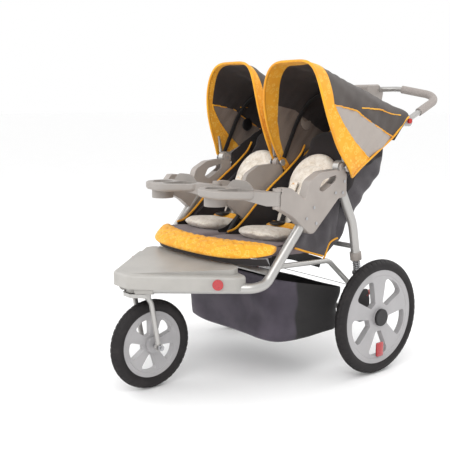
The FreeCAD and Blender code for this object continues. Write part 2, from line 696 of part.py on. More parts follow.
# ---- seats and basket ---------------------------------------------------------------------------
def seats():
    front = [(-546, 440), (-546, 462), (-500, 490), (-452, 497), (-446, 432)]
    save("seat_front_pad", side_prism(front, [8, 10, 20, 6, 6], -272, 272))
    base = [(-443, 428), (-443, 482), (-136, 450), (-130, 426)]
    save("seat_base", both(side_prism(base, [4, 8, 6, 4], 18, 273)))
    cushion = [(-430, 482), (-426, 502), (-240, 492), (-186, 470), (-184, 458)]
    save("seat_cushions", both(side_prism(cushion, [4, 8, 8, 4, 2], 62, 246)))
    back = [(-120, 458), (-172, 500), (-52, 770), (112, 764), (96, 664), (-58, 500)]
    cushion = side_prism(back, [6, 16, 20, 20, 60, 20], SEAT_IN, SEAT_OUT)
    sleeve = bar(SLEEVE_RADIUS, SEAT_IN, SEAT_OUT, REAR_CROSS_Y, REAR_CROSS_Z)
    hanger = [(-104, 466), (-62, 502), (-34, 446), (-54, 430)]
    body = fuse(cushion, sleeve, side_prism(hanger, [2, 2, 2, 2], SEAT_IN, SEAT_OUT))
    save_pair("seat_back", body.cut(bar(CROSS_TUBE + RUN, 0, SIDE_X, REAR_CROSS_Y, REAR_CROSS_Z)))
    pad = [(-167, 514), (-182, 520), (-80, 750), (-65, 743)]
    save_pair("back_cushion", side_prism(pad, [2, 6, 6, 3], 62, 236))
    wing = [(-428, 488), (-425, 494), (-344, 500), (-206, 604), (-24, 776), (-30, 700), (-170, 478)]
    bends = [1, 2, 20, 20, 4, 20, 10]
    outer = side_prism(wing, bends, SEAT_OUT + WING_GAP, SEAT_OUT + WING_GAP + WING_THICK)
    inner = side_prism(wing, bends, SEAT_IN - WING_GAP - WING_THICK, SEAT_IN - WING_GAP)
    save("seat_wings", group(outer, inner, other_side(outer), other_side(inner)))


def basket():
    """An open bag under the seats with sloping top edges."""
    outer = [(-372, 366), (-352, 138), (-48, 138), (-40, 296)]
    inner = [(-368, 380), (-348, 142), (-52, 142), (-44, 310)]
    bag = side_prism(outer, [2, 18, 18, 2], -274, 274)
    bag = bag.cut(side_prism(inner, [2, 14, 14, 2], -270, 270))
    points, bends = rail_path()
    rail = round_bar(points, bends, RAIL_TUBE + 2)
    save("basket", bag.cut(rail).cut(other_side(rail)))


# ---- trays --------------------------------------------------------------------------------------
def tray(x):
    """A child's tray with a cup well, a snack well and a raised back, on an arm that ends in a barrel."""
    bottom = TRAY_TOP - TRAY_THICK
    barrel_bottom = TRAY_TOP - BARREL_DEPTH
    outline = [
        (x - 255, -428), (x - 258, -520), (x - 214, -560), (x - 112, -570), (x - 34, -474), (x - 62, -414),
    ]
    plate = plan_prism(outline, [30, 34, 40, 60, 30, 24], bottom, TRAY_TOP)
    plate = plate.makeFillet(3, [e for e in plate.Edges if e.BoundBox.ZMin > TRAY_TOP - 0.01])
    plate = plate.makeFillet(12, [e for e in plate.Edges if e.BoundBox.ZMax < bottom + 0.01])
    neck = [(x - 74, -500), (x - 26, -462), (x + 8, -424), (x + 4, -405), (x - 34, -420), (x - 90, -424)]
    neck_part = plan_prism(neck, [2, 20, 2, 2, 10, 2], barrel_bottom, TRAY_TOP)
    slope = block(-200, 200, -200, 200, -100, 0)
    slope.rotate(Vector(0, 0, 0), Vector(1, -0.55, 0), -15)
    slope.translate(Vector(x - 22, -440, barrel_bottom))
    barrel = pillar(EAR_RADIUS, x, TRAY_PIN_Y, barrel_bottom, TRAY_TOP)
    cup_x = x - 202
    cup_y = -496
    well_top = TRAY_TOP - CUP_DEPTH
    cup = pillar(CUP_RADIUS, cup_x, cup_y, well_top, TRAY_TOP - 1)
    back = [(x - 240, 640), (x - 196, 681), (x - 120, 681), (x - 74, 640)]
    wall = Part.Face(rounded_path([Vector(a, -431, b) for a, b in back], [8, 40, 50, 8], closed=True))
    wall = wall.extrude(Vector(0, 5, 0))
    body = fuse(plate, neck_part.cut(slope), barrel, cup, wall)
    body = body.cut(pillar(CUP_RADIUS - CUP_WALL, cup_x, cup_y, well_top + CUP_WALL, TRAY_TOP + 30))
    snack = [(x - 152, -438), (x - 152, -534), (x - 114, -534), (x - 66, -480), (x - 72, -438)]
    body = body.cut(plan_prism(snack, [12, 12, 12, 12, 10], bottom + CUP_WALL, TRAY_TOP + 1))
    return body.cut(pillar(EAR_PIN + RUN, x, TRAY_PIN_Y, 580, 700))


frame_tubes()
cross_tubes()
steering_head()
footrest()
side_plates()
centre_armrest()
hub_bolts()
rear_axle()
save_pair("brake_pedal", brake_pedal())
fork()
wheels()
save_pair("upper_tube", upper_tube())
console(handle())
canopies()
seats()
basket()
save("tray_left", tray(UPPER_X))
save("tray_right", tray(0))
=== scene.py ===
import math

import bmesh
import bpy
import numpy as np
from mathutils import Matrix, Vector


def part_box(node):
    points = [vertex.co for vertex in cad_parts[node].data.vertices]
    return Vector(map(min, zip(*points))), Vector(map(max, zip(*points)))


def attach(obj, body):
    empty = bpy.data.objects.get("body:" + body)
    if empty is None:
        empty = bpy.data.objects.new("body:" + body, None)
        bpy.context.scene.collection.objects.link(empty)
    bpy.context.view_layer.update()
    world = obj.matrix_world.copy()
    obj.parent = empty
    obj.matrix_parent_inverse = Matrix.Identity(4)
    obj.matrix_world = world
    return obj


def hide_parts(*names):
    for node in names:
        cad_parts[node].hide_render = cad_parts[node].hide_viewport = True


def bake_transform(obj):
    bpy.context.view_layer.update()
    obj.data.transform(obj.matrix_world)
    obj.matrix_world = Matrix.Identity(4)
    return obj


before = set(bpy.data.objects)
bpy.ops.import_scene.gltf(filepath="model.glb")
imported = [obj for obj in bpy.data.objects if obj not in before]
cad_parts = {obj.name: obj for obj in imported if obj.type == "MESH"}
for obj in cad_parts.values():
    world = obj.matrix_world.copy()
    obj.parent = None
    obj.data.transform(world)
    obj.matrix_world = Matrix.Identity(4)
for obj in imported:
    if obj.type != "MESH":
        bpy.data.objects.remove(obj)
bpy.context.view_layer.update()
axle_low, axle_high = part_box("rear_axle")
AXLE_Y = (axle_low.y + axle_high.y) / 2
LIFT = np.array([0.0, AXLE_Y, 0.0])
SIDES = (("left", 1.0), ("right", -1.0))
TAU = 2 * math.pi

# Shapes are laid out in metres from the floor under the rear axle: +X is the children's left and
# -Y is forward. Every mesh is moved by LIFT into the model's frame when it is made.


# ---- camera, light and floor ----
def studio():
    """The camera, three soft lamps and a white sky."""
    eye = Vector((2.0630, -2.0407, 0.9294)) + Vector(LIFT)
    aim = Vector((-0.0372, -0.3453, 0.5035)) + Vector(LIFT)
    camera = bpy.data.objects.new("camera", bpy.data.cameras.new("camera"))
    camera.data.lens = 62.05
    camera.location = eye
    camera.rotation_euler = (aim - eye).to_track_quat("-Z", "Y").to_euler()
    bpy.context.scene.collection.objects.link(camera)
    bpy.context.scene.camera = camera
    bpy.context.scene.view_settings.view_transform = "Standard"
    lamps = [
        ("key", (1.6, -2.6, 3.2), 2.6, 62),
        ("fill", (-2.8, -1.6, 2.2), 2.4, 26),
        ("rim", (0.6, 3.0, 2.6), 2.0, 34),
    ]
    for name, place, size, power in lamps:
        lamp = bpy.data.objects.new(name, bpy.data.lights.new(name, "AREA"))
        lamp.data.size = size
        lamp.data.energy = power
        lamp.location = place
        lamp.rotation_euler = (Vector((0, 0, 0.5)) - Vector(place)).to_track_quat("-Z", "Y").to_euler()
        bpy.context.scene.collection.objects.link(lamp)
    world = bpy.data.worlds.new("studio")
    world.use_nodes = True
    world.node_tree.nodes["Background"].inputs["Color"].default_value = (1, 1, 1, 1)
    world.node_tree.nodes["Background"].inputs["Strength"].default_value = 1.0
    bpy.context.scene.world = world


# ---- shader maths ----
def tone(red, green, blue):
    """A colour given in 0-255 screen values, as the linear colour that shaders use."""
    share = np.array([red, green, blue]) / 255
    linear = np.where(share > 0.04045, ((share + 0.055) / 1.055) ** 2.4, share / 12.92)
    return (*[float(x) for x in linear], 1.0)


def shaded(colour, share):
    """The colour made darker or lighter by share."""
    return tuple(min(c * share, 1.0) for c in colour[:3]) + (1.0,)


class Value:
    """A shader socket that takes part in sums and products."""

    def __init__(self, finish, socket):
        self.finish = finish
        self.socket = socket

    def sum(self, operation, *values):
        """One Math node over numbers and sockets."""
        inputs = dict(enumerate(values))
        return self.finish.node("ShaderNodeMath", {"operation": operation}, inputs)

    def __add__(self, other):
        return self.sum("ADD", self, other)

    __radd__ = __add__

    def __mul__(self, other):
        return self.sum("MULTIPLY", self, other)

    __rmul__ = __mul__

    def __sub__(self, other):
        return self.sum("SUBTRACT", self, other)

    def __rsub__(self, other):
        return self.sum("SUBTRACT", other, self)

    def sine(self):
        return self.sum("SINE", self)

    def size(self):
        return self.sum("ABSOLUTE", self)

    def least(self, other):
        return self.sum("MINIMUM", self, other)

    def most(self, other):
        return self.sum("MAXIMUM", self, other)

    def rise(self, low, high):
        """0 below low, 1 above high, smooth between."""
        settings = {"interpolation_type": "SMOOTHSTEP"}
        return self.finish.node("ShaderNodeMapRange", settings, {0: self, 1: low, 2: high})


class Finish:
    """A material of one Principled shader, whose nodes are made by one method."""

    def __init__(self, name, **fixed):
        self.material = bpy.data.materials.new(name)
        self.material.use_nodes = True
        self.tree = self.material.node_tree
        self.shader = self.tree.nodes["Principled BSDF"]
        for socket, value in fixed.items():
            self.shader.inputs[socket.replace("_", " ")].default_value = value

    def node(self, kind, settings=None, inputs=None, out=0):
        """A node of this kind: its settings first, then its sockets' values or links."""
        node = self.tree.nodes.new(kind)
        for key, value in (settings or {}).items():
            if key == "stops":
                ramp = node.color_ramp.elements
                while len(ramp) < len(value):
                    ramp.new(1.0)
                for stop, (place, colour) in zip(ramp, value):
                    stop.position = place
                    stop.color = colour
            else:
                setattr(node, key, value)
        for key, value in (inputs or {}).items():
            if isinstance(value, Value):
                self.tree.links.new(value.socket, node.inputs[key])
            else:
                node.inputs[key].default_value = value
        return Value(self, node.outputs[out])

    def place(self, **mapping):
        """Object coordinates, stretched or turned by the mapping."""
        here = self.node("ShaderNodeTexCoord", out="Object")
        if not mapping:
            return here
        return self.node("ShaderNodeMapping", None, {"Vector": here, **mapping})

    def axes(self, vector):
        """The three numbers of a vector."""
        split = self.node("ShaderNodeSeparateXYZ", None, {0: vector})
        node = split.socket.node
        return [Value(self, node.outputs[i]) for i in range(3)]

    def noise(self, scale, detail=2.0, vector=None):
        vector = vector or self.place()
        return self.node("ShaderNodeTexNoise", None, {"Vector": vector, "Scale": scale, "Detail": detail})

    def cells(self, scale, feature="F1", out=0):
        """Each point's distance to its cell's centre, or the cell's own colour."""
        inputs = {"Vector": self.place(), "Scale": scale}
        return self.node("ShaderNodeTexVoronoi", {"feature": feature}, inputs, out)

    def mix(self, share, first, second):
        """From the first colour to the second as share goes from 0 to 1."""
        settings = {"data_type": "RGBA"}
        return self.node("ShaderNodeMix", settings, {0: share, 6: first, 7: second}, 2)

    def attribute(self, name):
        return self.node("ShaderNodeAttribute", {"attribute_name": name}, out="Fac")

    def set(self, socket, value):
        self.tree.links.new(value.socket, self.shader.inputs[socket])

    def bump(self, height, distance, strength=1.0):
        inputs = {"Height": height, "Distance": distance, "Strength": strength}
        self.set("Normal", self.node("ShaderNodeBump", None, inputs))


def weave(finish, pitch):
    """Over and under threads: the product of two sines across the cloth."""
    x, y, z = finish.axes(finish.place())
    warp = ((x + y * 0.6) * (TAU / pitch)).sine()
    weft = ((z + y * 0.8) * (TAU / pitch)).sine()
    return warp * weft


# ---- finishes ----
def moulded(name, colour, rough=0.48):
    """Moulded plastic: fine spark grain, faint flow marks and a little uneven gloss."""
    finish = Finish(name)
    flow = finish.noise(9.0, 3.0)
    finish.set("Base Color", finish.mix(flow.rise(0.3, 0.7), shaded(colour, 0.86), colour))
    finish.set("Roughness", flow * 0.14 + (rough - 0.07))
    finish.bump(finish.noise(900.0, 1.0) + finish.noise(60.0, 2.0) * 0.6, 0.0003, 0.5)
    return finish.material


def painted_tube(name, colour, metal=0.55):
    """Silver paint: fine flake in the colour, orange-peel bump and light scuffs."""
    finish = Finish(name, Coat_Weight=0.25, Coat_Roughness=0.2)
    flake = finish.cells(1500.0, out="Color")
    tint = finish.axes(flake)[0]
    scuff = finish.noise(35.0, 4.0).rise(0.62, 0.75)
    finish.set("Base Color", finish.mix(tint * 0.5 + scuff * 0.3, colour, shaded(colour, 1.14)))
    finish.set("Roughness", scuff * 0.2 + 0.32)
    finish.set("Metallic", metal - scuff * 0.2)
    finish.bump(finish.noise(240.0, 1.0), 0.0002, 0.25)
    return finish.material


def steel(name, colour):
    """Turned zinc-plated steel with brushed lines."""
    finish = Finish(name, Metallic=1.0)
    lines = finish.noise(60.0, 4.0, finish.place(Scale=(30.0, 1.0, 1.0)))
    finish.set("Base Color", finish.mix(lines, shaded(colour, 0.7), colour))
    finish.set("Roughness", lines * 0.25 + 0.22)
    finish.bump(lines, 0.0001, 0.3)
    return finish.material


def rubber():
    """Tyre rubber: dull black with dust in its grooves."""
    finish = Finish("tyre_rubber", Specular_IOR_Level=0.35)
    dust = finish.noise(30.0, 4.0).rise(0.45, 0.75)
    finish.set("Base Color", finish.mix(dust * 0.5, tone(30, 27, 28), tone(58, 54, 54)))
    finish.set("Roughness", dust * 0.15 + 0.66)
    finish.bump(finish.noise(700.0, 2.0), 0.0003, 0.5)
    return finish.material


def foam():
    """Closed-cell foam sleeve: tiny pits all over, each darker towards its centre as painted shade in the pit.
    """
    finish = Finish("grip_foam")
    pits = finish.cells(650.0)
    # Each pit is darkened towards its centre: painted shade in the pits.
    finish.set("Base Color", finish.mix(pits.rise(0.0, 0.6), tone(126, 118, 114), tone(166, 158, 153)))
    finish.set("Roughness", finish.noise(20.0) * 0.1 + 0.8)
    finish.bump(pits, 0.0006, 0.7)
    return finish.material


def reflector(name, colour):
    """A prismatic lens: small pyramids under clear plastic."""
    finish = Finish(name, Coat_Weight=1.0, Coat_Roughness=0.05, Roughness=0.25)
    prism = finish.cells(420.0, feature="F2")
    finish.set("Base Color", finish.mix(prism.rise(0.2, 0.8), shaded(colour, 0.45), colour))
    finish.bump(prism, 0.0006, 0.6)
    return finish.material


def cloth(name, colour, shade=None, pitch=0.0022, rough=0.86):
    """Woven cloth: threads in bump and colour, soft blotches of fading."""
    finish = Finish(name, Sheen_Weight=0.15, Sheen_Roughness=0.5)
    shade = shade or shaded(colour, 0.72)
    threads = weave(finish, pitch)
    blotch = finish.noise(14.0, 4.0)
    slub = finish.noise(320.0, 2.0)
    share = blotch.rise(0.25, 0.75) * 0.6 + slub * 0.25 + threads * 0.1
    finish.set("Base Color", finish.mix(share, shade, colour))
    finish.set("Roughness", slub * 0.12 + (rough - 0.06))
    finish.bump(threads * 0.5 + slub, 0.0005, 0.55)
    return finish.material


GOLD = tone(243, 172, 42)
GOLD_DEEP = tone(220, 142, 24)
GOLD_PALE = tone(250, 206, 98)
TRIM_YELLOW = tone(246, 184, 24)
CHARCOAL = tone(66, 58, 56)
LINING = tone(44, 37, 38)
DUSK = tone(88, 84, 88)


def printed_gold(name):
    """Gold cloth with a pale print of rings: each cell's distance to its own centre makes a ring."""
    finish = Finish(name, Sheen_Weight=0.1, Sheen_Roughness=0.5)
    reach = finish.cells(58.0)
    ring = 1 - ((reach - 0.36).size() * 11.0).least(1.0)
    dot = 1 - reach.rise(0.06, 0.13)
    threads = weave(finish, 0.002)
    slub = finish.noise(300.0, 2.0)
    base = finish.mix(finish.noise(12.0, 3.0).rise(0.2, 0.7) * 0.6 + 0.4, GOLD_DEEP, GOLD)
    printed = finish.mix(ring.most(dot) * 0.75, base, GOLD_PALE)
    finish.set("Base Color", printed)
    finish.set("Roughness", slub * 0.14 + 0.74)
    finish.bump(threads * 0.4 + slub, 0.0005, 0.5)
    return finish


def quilted_gold():
    """Gold cloth stitched in rows of overlapping scales."""
    finish = printed_gold("quilted_gold")
    x, y, z = finish.axes(finish.place())
    across = (x * (TAU / 0.046)).sine()
    rows = ((y * 0.8 + z * 0.6) * (TAU / 0.03) + across * 1.3).sine()
    finish.bump(rows.rise(-1.0, 0.2) + finish.noise(90.0, 3.0) * 0.4, 0.0035, 0.7)
    return finish.material


def fleece():
    """Cream pile: clumps of short fibre."""
    finish = Finish("cream_fleece", Sheen_Weight=0.4, Sheen_Roughness=0.6)
    pile = finish.noise(420.0, 4.0)
    clump = finish.noise(60.0, 3.0)
    share = pile * 0.5 + clump * 0.5
    finish.set("Base Color", finish.mix(share.rise(0.25, 0.65), tone(206, 192, 172), tone(246, 239, 228)))
    finish.set("Roughness", pile * 0.1 + 0.88)
    finish.bump(pile + clump * 0.8, 0.002, 0.6)
    return finish.material


def canopy_face(name, inner):
    """The canopy's panels: the sheet's own band and window distances choose gold, mesh or dark cloth; the inner
    face gets darker copies of the mesh and dark cloth, painted shade inside the canopy.
    """
    finish = printed_gold(name)
    gold = Value(finish, finish.shader.inputs["Base Color"].links[0].from_socket)
    threads = weave(finish, 0.0024)
    slub = finish.noise(280.0, 3.0)
    fade = finish.noise(10.0, 4.0)
    y, z = finish.axes(finish.place())[1:]
    holes = ((y * (TAU / 0.0035)).sine() * (z * (TAU / 0.0035)).sine()).rise(0.1, 0.6)
    # The inner face's net and top tones are darker copies of the outer ones: painted shade inside the canopy.
    if inner:
        net_dark, net_light = tone(96, 84, 78), tone(128, 114, 104)
        top_dark, top_light = tone(38, 31, 31), tone(56, 48, 46)
    else:
        net_dark, net_light = tone(142, 133, 126), tone(176, 167, 160)
        top_dark, top_light = tone(62, 55, 52), tone(84, 77, 73)
    net = finish.mix(holes * 0.6 + fade * 0.3, net_light, net_dark)
    top = finish.mix(fade.rise(0.2, 0.8) * 0.7 + slub * 0.3, top_dark, top_light)
    band = finish.attribute("band").rise(-0.0012, 0.0012)
    window = finish.attribute("window").rise(-0.0012, 0.0012)
    panel = finish.mix(window, top, net)
    finish.set("Base Color", finish.mix(band, panel, gold))
    finish.set("Roughness", slub * 0.12 + 0.76)
    finish.bump(threads * 0.4 + slub + holes * window * 0.5, 0.0005, 0.5)
    return finish.material


def basket_cloth():
    """Purple-grey front panel; black net round the sides, back and bottom."""
    finish = Finish("basket_cloth", Sheen_Weight=0.1)
    x, y, z = finish.axes(finish.place())
    net = ((x + y) * (TAU / 0.005)).sine() * ((z * (TAU / 0.005)).sine())
    front = finish.attribute("front").rise(0.45, 0.55)
    fade = finish.noise(9.0, 4.0)
    solid = finish.mix(fade.rise(0.3, 0.7), tone(58, 52, 62), tone(80, 73, 84))
    dark = finish.mix(net.rise(0.0, 0.7), tone(20, 18, 19), tone(42, 38, 38))
    finish.set("Base Color", finish.mix(front, dark, solid))
    finish.set("Roughness", fade * 0.15 + 0.72)
    finish.bump(net * 0.6 + finish.noise(240.0), 0.0006, 0.5)
    return finish.material


def webbing(name, colour):
    """Narrow strap: ribs across its length, their crests painted lighter as a highlight."""
    finish = Finish(name)
    x, y, z = finish.axes(finish.place())
    ribs = ((x + y + z) * (TAU / 0.003)).sine()
    # The rib crests are mixed towards a lighter colour: painted highlight on the ribs.
    light = tuple(min(c * 1.6 + 0.01, 1.0) for c in colour[:3]) + (1.0,)
    finish.set("Base Color", finish.mix(ribs.rise(-0.5, 1.0) * 0.6, colour, light))
    finish.set("Roughness", finish.noise(150.0) * 0.2 + 0.6)
    finish.bump(ribs, 0.0005, 0.6)
    return finish.material


finishes = {
    "plastic": moulded("grey_plastic", tone(164, 156, 150)),
    "footrest": moulded("footrest_plastic", tone(172, 169, 164), rough=0.4),
    "tray": moulded("tray_plastic", tone(160, 154, 149)),
    "rim": moulded("wheel_plastic", tone(172, 170, 171), rough=0.38),
    "dark": moulded("dark_plastic", tone(64, 61, 62), rough=0.5),
    "black": moulded("black_plastic", tone(26, 24, 25), rough=0.42),
    "red": moulded("red_plastic", tone(190, 28, 22), rough=0.35),
    "tube": painted_tube("silver_tube", tone(176, 174, 171)),
    "wire": painted_tube("black_wire", tone(28, 26, 26), metal=0.2),
    "steel": steel("plated_steel", tone(190, 190, 192)),
    "rubber": rubber(),
    "foam": foam(),
    "lens": reflector("red_lens", tone(176, 14, 26)),
    "gold": printed_gold("gold_cloth").material,
    "quilt": quilted_gold(),
    "trim": cloth("yellow_trim", TRIM_YELLOW, GOLD_DEEP, 0.0016, 0.7),
    "charcoal": cloth("charcoal_cloth", CHARCOAL),
    "lining": cloth("seat_lining", LINING, tone(26, 21, 22)),
    "dusk": cloth("grey_cloth", DUSK, tone(58, 54, 57)),
    "mauve": cloth("mauve_cloth", tone(134, 120, 122), tone(108, 96, 99)),
    "fleece": fleece(),
    "canopy_out": canopy_face("canopy_cloth", False),
    # The canopy's inner face: the same cloth in darker tones, painted shade.
    "canopy_in": canopy_face("canopy_inside_shaded", True),
    "basket": basket_cloth(),
    "strap": webbing("black_webbing", tone(24, 22, 23)),
    "net": cloth("pale_net", tone(160, 147, 137), tone(132, 119, 110), 0.0034),
}


dict.fromkeys(("canopy_out", "net"), "canopy_fabric")
dict.fromkeys(("trim", "gold", "quilt"), "visor_fabric")
dict.fromkeys(("lining", "dusk", "mauve", "basket", "strap", "charcoal"), "seat_fabric")


# ---- surfaces ----
LINE_POINTS = 60


def even(path, count, closed=False):
    """The same line with points evenly spaced along its length."""
    path = np.vstack([path, path[:1]]) if closed else path
    run = np.r_[0, np.cumsum(np.linalg.norm(np.diff(path, axis=0), axis=1))]
    stops = np.linspace(0, run[-1], count + 1)[:-1] if closed else np.linspace(0, run[-1], count)
    return np.stack([np.interp(stops, run, path[:, i]) for i in range(path.shape[1])], axis=1)


def spline(points, count, closed=False):
    """A smooth line through the points: cubic spans whose end slopes are half the chord across."""
    p = np.asarray(points, float)
    if closed:
        line = np.vstack([p[-1:], p, p[:2]])
    else:
        line = np.vstack([2 * p[0] - p[1], p, 2 * p[-1] - p[-2]])
    spans = len(p) if closed else len(p) - 1
    t = np.linspace(0, spans, count * 6, endpoint=not closed)
    i = np.minimum(t.astype(int), spans - 1)
    f = (t - i)[:, None]
    a, b, c, d = line[i], line[i + 1], line[i + 2], line[i + 3]
    cubic = 2 * b + (c - a) * f + (2 * a - 5 * b + 4 * c - d) * f**2 + (3 * b - a - 3 * c + d) * f**3
    return even(cubic / 2, count, closed)


def unit(vectors):
    """The same directions at length one."""
    return vectors / np.maximum(np.linalg.norm(vectors, axis=-1, keepdims=True), 1e-9)


def along(path, profile, up=(0, 0, 1), closed=False, sizes=None):
    """A flat profile carried along a path: its first number goes sideways and its second upwards."""
    path = np.asarray(path, float)
    if closed:
        ahead = unit(np.roll(path, -1, axis=0) - np.roll(path, 1, axis=0))
    else:
        ahead = unit(np.gradient(path, axis=0))
    side = unit(np.cross(ahead, np.broadcast_to(np.asarray(up, float), ahead.shape)))
    over = np.cross(side, ahead)
    profile = np.asarray(profile, float)
    sizes = np.ones(len(path)) if sizes is None else np.asarray(sizes)
    scaled = profile[None] * sizes[:, None, None]
    return path[:, None] + scaled[..., :1] * side[:, None] + scaled[..., 1:] * over[:, None]


def squarish(angle, power):
    """Cosine and sine raised to a power with their signs kept: under one squares the circle they trace."""
    return [np.sign(wave) * np.abs(wave) ** power for wave in (np.cos(angle), np.sin(angle))]


def ring(width, height, count=16, power=2.0):
    """A closed oval outline of this many points: a higher power is squarer."""
    c, s = squarish(np.linspace(0, TAU, count, endpoint=False), 2 / power)
    return np.stack([c * width / 2, s * height / 2], axis=1)


def arc(centre, across, up, angles):
    """Points round a centre: cosine of the angle along across, sine along up."""
    return np.asarray(centre) + np.cos(angles)[:, None] * across + np.sin(angles)[:, None] * up


def mesh_of(name, grid, wrap_rows=False, wrap_ring=True, caps=True):
    """Quads over a grid of points: rows run along the piece and each row may close on itself."""
    rows, cols = grid.shape[:2]
    index = np.arange(rows * cols).reshape(rows, cols)
    if wrap_rows:
        index = np.vstack([index, index[:1]])
    if wrap_ring:
        index = np.hstack([index, index[:, :1]])
    quads = np.stack([index[:-1, :-1], index[1:, :-1], index[1:, 1:], index[:-1, 1:]], axis=-1)
    faces = quads.reshape(-1, 4).tolist()
    if caps and wrap_ring and not wrap_rows:
        faces += [index[0, :cols].tolist(), index[-1, :cols][::-1].tolist()]
    mesh = bpy.data.meshes.new(name)
    mesh.from_pydata((grid.reshape(-1, 3) + LIFT).tolist(), [], faces)
    return mesh


def outward(mesh):
    """Turns every face of a closed shape to point out."""
    shape = bmesh.new()
    shape.from_mesh(mesh)
    bmesh.ops.remove_doubles(shape, verts=shape.verts, dist=1e-6)
    bmesh.ops.recalc_face_normals(shape, faces=shape.faces)
    shape.to_mesh(mesh)
    shape.free()


def piece(name, mesh, finish, body, replaces=(), closed=True, blend=None):
    """Makes an object of a mesh, with its finish, and joins it to its body; when blend is given it only bakes
    the object's place into the mesh and joins no body.
    """
    if closed:
        outward(mesh)
    mesh.polygons.foreach_set("use_smooth", np.ones(len(mesh.polygons), bool))
    obj = bpy.data.objects.new(name, mesh)
    bpy.context.scene.collection.objects.link(obj)
    mesh.materials.append(finishes[finish])
    if blend:
        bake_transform(obj)
    else:
        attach(obj, body)
    if replaces:
        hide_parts(*replaces)
    return obj


def cord_piece(name, points, radius, finish, body, closed=False, up=(0, 0, 1)):
    """A round cord or piping along a smooth line."""
    path = spline(points, LINE_POINTS, closed)
    grid = along(path, ring(2 * radius, 2 * radius, 10), up, closed)
    return piece(name, mesh_of(name, grid, wrap_rows=closed), finish, body)


def strap_piece(name, points, width, thick, finish, body, up):
    """A flat strap along a smooth line: up is the way its broad face looks."""
    grid = along(spline(points, LINE_POINTS), ring(width, thick, 16, 5.0), up)
    return piece(name, mesh_of(name, grid), finish, body)


def thicken(obj, thickness, **settings):
    """Gives a sheet its two faces."""
    thick = obj.modifiers.new("thick", "SOLIDIFY")
    thick.thickness = thickness
    for key, value in settings.items():
        setattr(thick, key, value)


def mark(mesh, name, values):
    """Stores one number per point for a finish to read."""
    store = mesh.attributes.new(name, "FLOAT", "POINT")
    store.data.foreach_set("value", values.astype(np.float32).ravel())


def mirror(points, side):
    """The points on the left as they are, or turned over to the right."""
    return np.asarray(points, float) * (side, 1, 1)


# ---- CAD nodes that keep their shape ----
KEPT = {
    "plastic": "side_plate_* centre_armrest console leg_collars",
    "footrest": "footrest steering_head",
    "tray": "tray_*",
    "rim": "rear_rim_* front_rim",
    "dark": "axle_brackets",
    "black": "hub_cap_* kingpin centre_post",
    "red": "brake_pedal_* handle_button_*",
    "tube": "side_tube_* rear_leg_* upper_tube_* handle_tube fork cross_tubes lower_rails rear_axle",
    "wire": "front_bow_* middle_bow_*",
    "steel": "plate_rivets hub_bolts shock_rods shock_springs front_axle",
    "foam": "grips",
    "lens": "footrest_reflectors",
}


def dress_frame():
    """Gives each kept node its finish; a star in a name stands for left and right."""
    for finish, names in KEPT.items():
        for name in names.split():
            for label in ("left", "right") if "*" in name else ("",):
                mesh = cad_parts[name.replace("*", label)].data
                mesh.materials.clear()
                mesh.materials.append(finishes[finish])


# ---- tyres ----
REAR_TRACK = 0.368
REAR_RADIUS = 0.2
REAR_SECTION = 0.021
FRONT_AXLE = -0.69
FRONT_RADIUS = 0.149
FRONT_SECTION = 0.022


def tyre(name, x, y, radius, section, blocks, body):
    """A ring whose outer third is cut into staggered blocks: grooves are where a sine is near nought."""
    around = np.linspace(0, TAU, blocks * 8, endpoint=False)[:, None]
    across = np.linspace(0, TAU, 40, endpoint=False)[None]
    crown = np.clip(np.cos(across) * 2.2 - 0.55, 0, 1)
    phase = np.where(np.sin(across) > 0, 0.0, math.pi)
    slots = np.clip(1 - np.abs(np.sin(around * blocks / 2 + phase / 2 + np.sin(across) * 0.7)) * 3.2, 0, 1)
    rings = np.clip(1 - np.abs(np.abs(np.sin(across)) - 0.3) * 12, 0, 1) * (np.cos(across) > 0)
    depth = 0.0032 * np.maximum(slots, rings) * crown
    wall = 0.0012 * np.exp(-((np.cos(across) + 0.1) / 0.08) ** 2)
    tube = section - depth + wall - 0.0006
    reach = radius - section + tube * np.cos(across)
    grid = np.stack([
        x + tube * np.sin(across) + 0 * around,
        y + reach * np.sin(around),
        radius + reach * np.cos(around),
    ], axis=-1)
    mesh = mesh_of(name, grid, wrap_rows=True)
    return piece(name, mesh, "rubber", body, replaces=(name.replace("tread", "tyre"),))


def wheel_pieces():
    """Treads, and a reflector in a window of each rear wheel."""
    for label, side in SIDES:
        tyre(f"rear_tread_{label}", side * REAR_TRACK, 0, REAR_RADIUS, REAR_SECTION, 54, f"rear_wheel_{label}")
        lens = ring(0.034, 0.05, 24, 8.0)
        path = np.array([[side * 0.384, 0, 0.086], [side * 0.3895, 0, 0.086], [side * 0.391, 0, 0.086]])
        grid = along(path, lens, sizes=[1, 1, 0.9])
        piece(f"wheel_reflector_{label}", mesh_of("lens", grid), "lens", f"rear_wheel_{label}")
    tyre("front_tread", 0, FRONT_AXLE, FRONT_RADIUS, FRONT_SECTION, 44, "front_wheel")


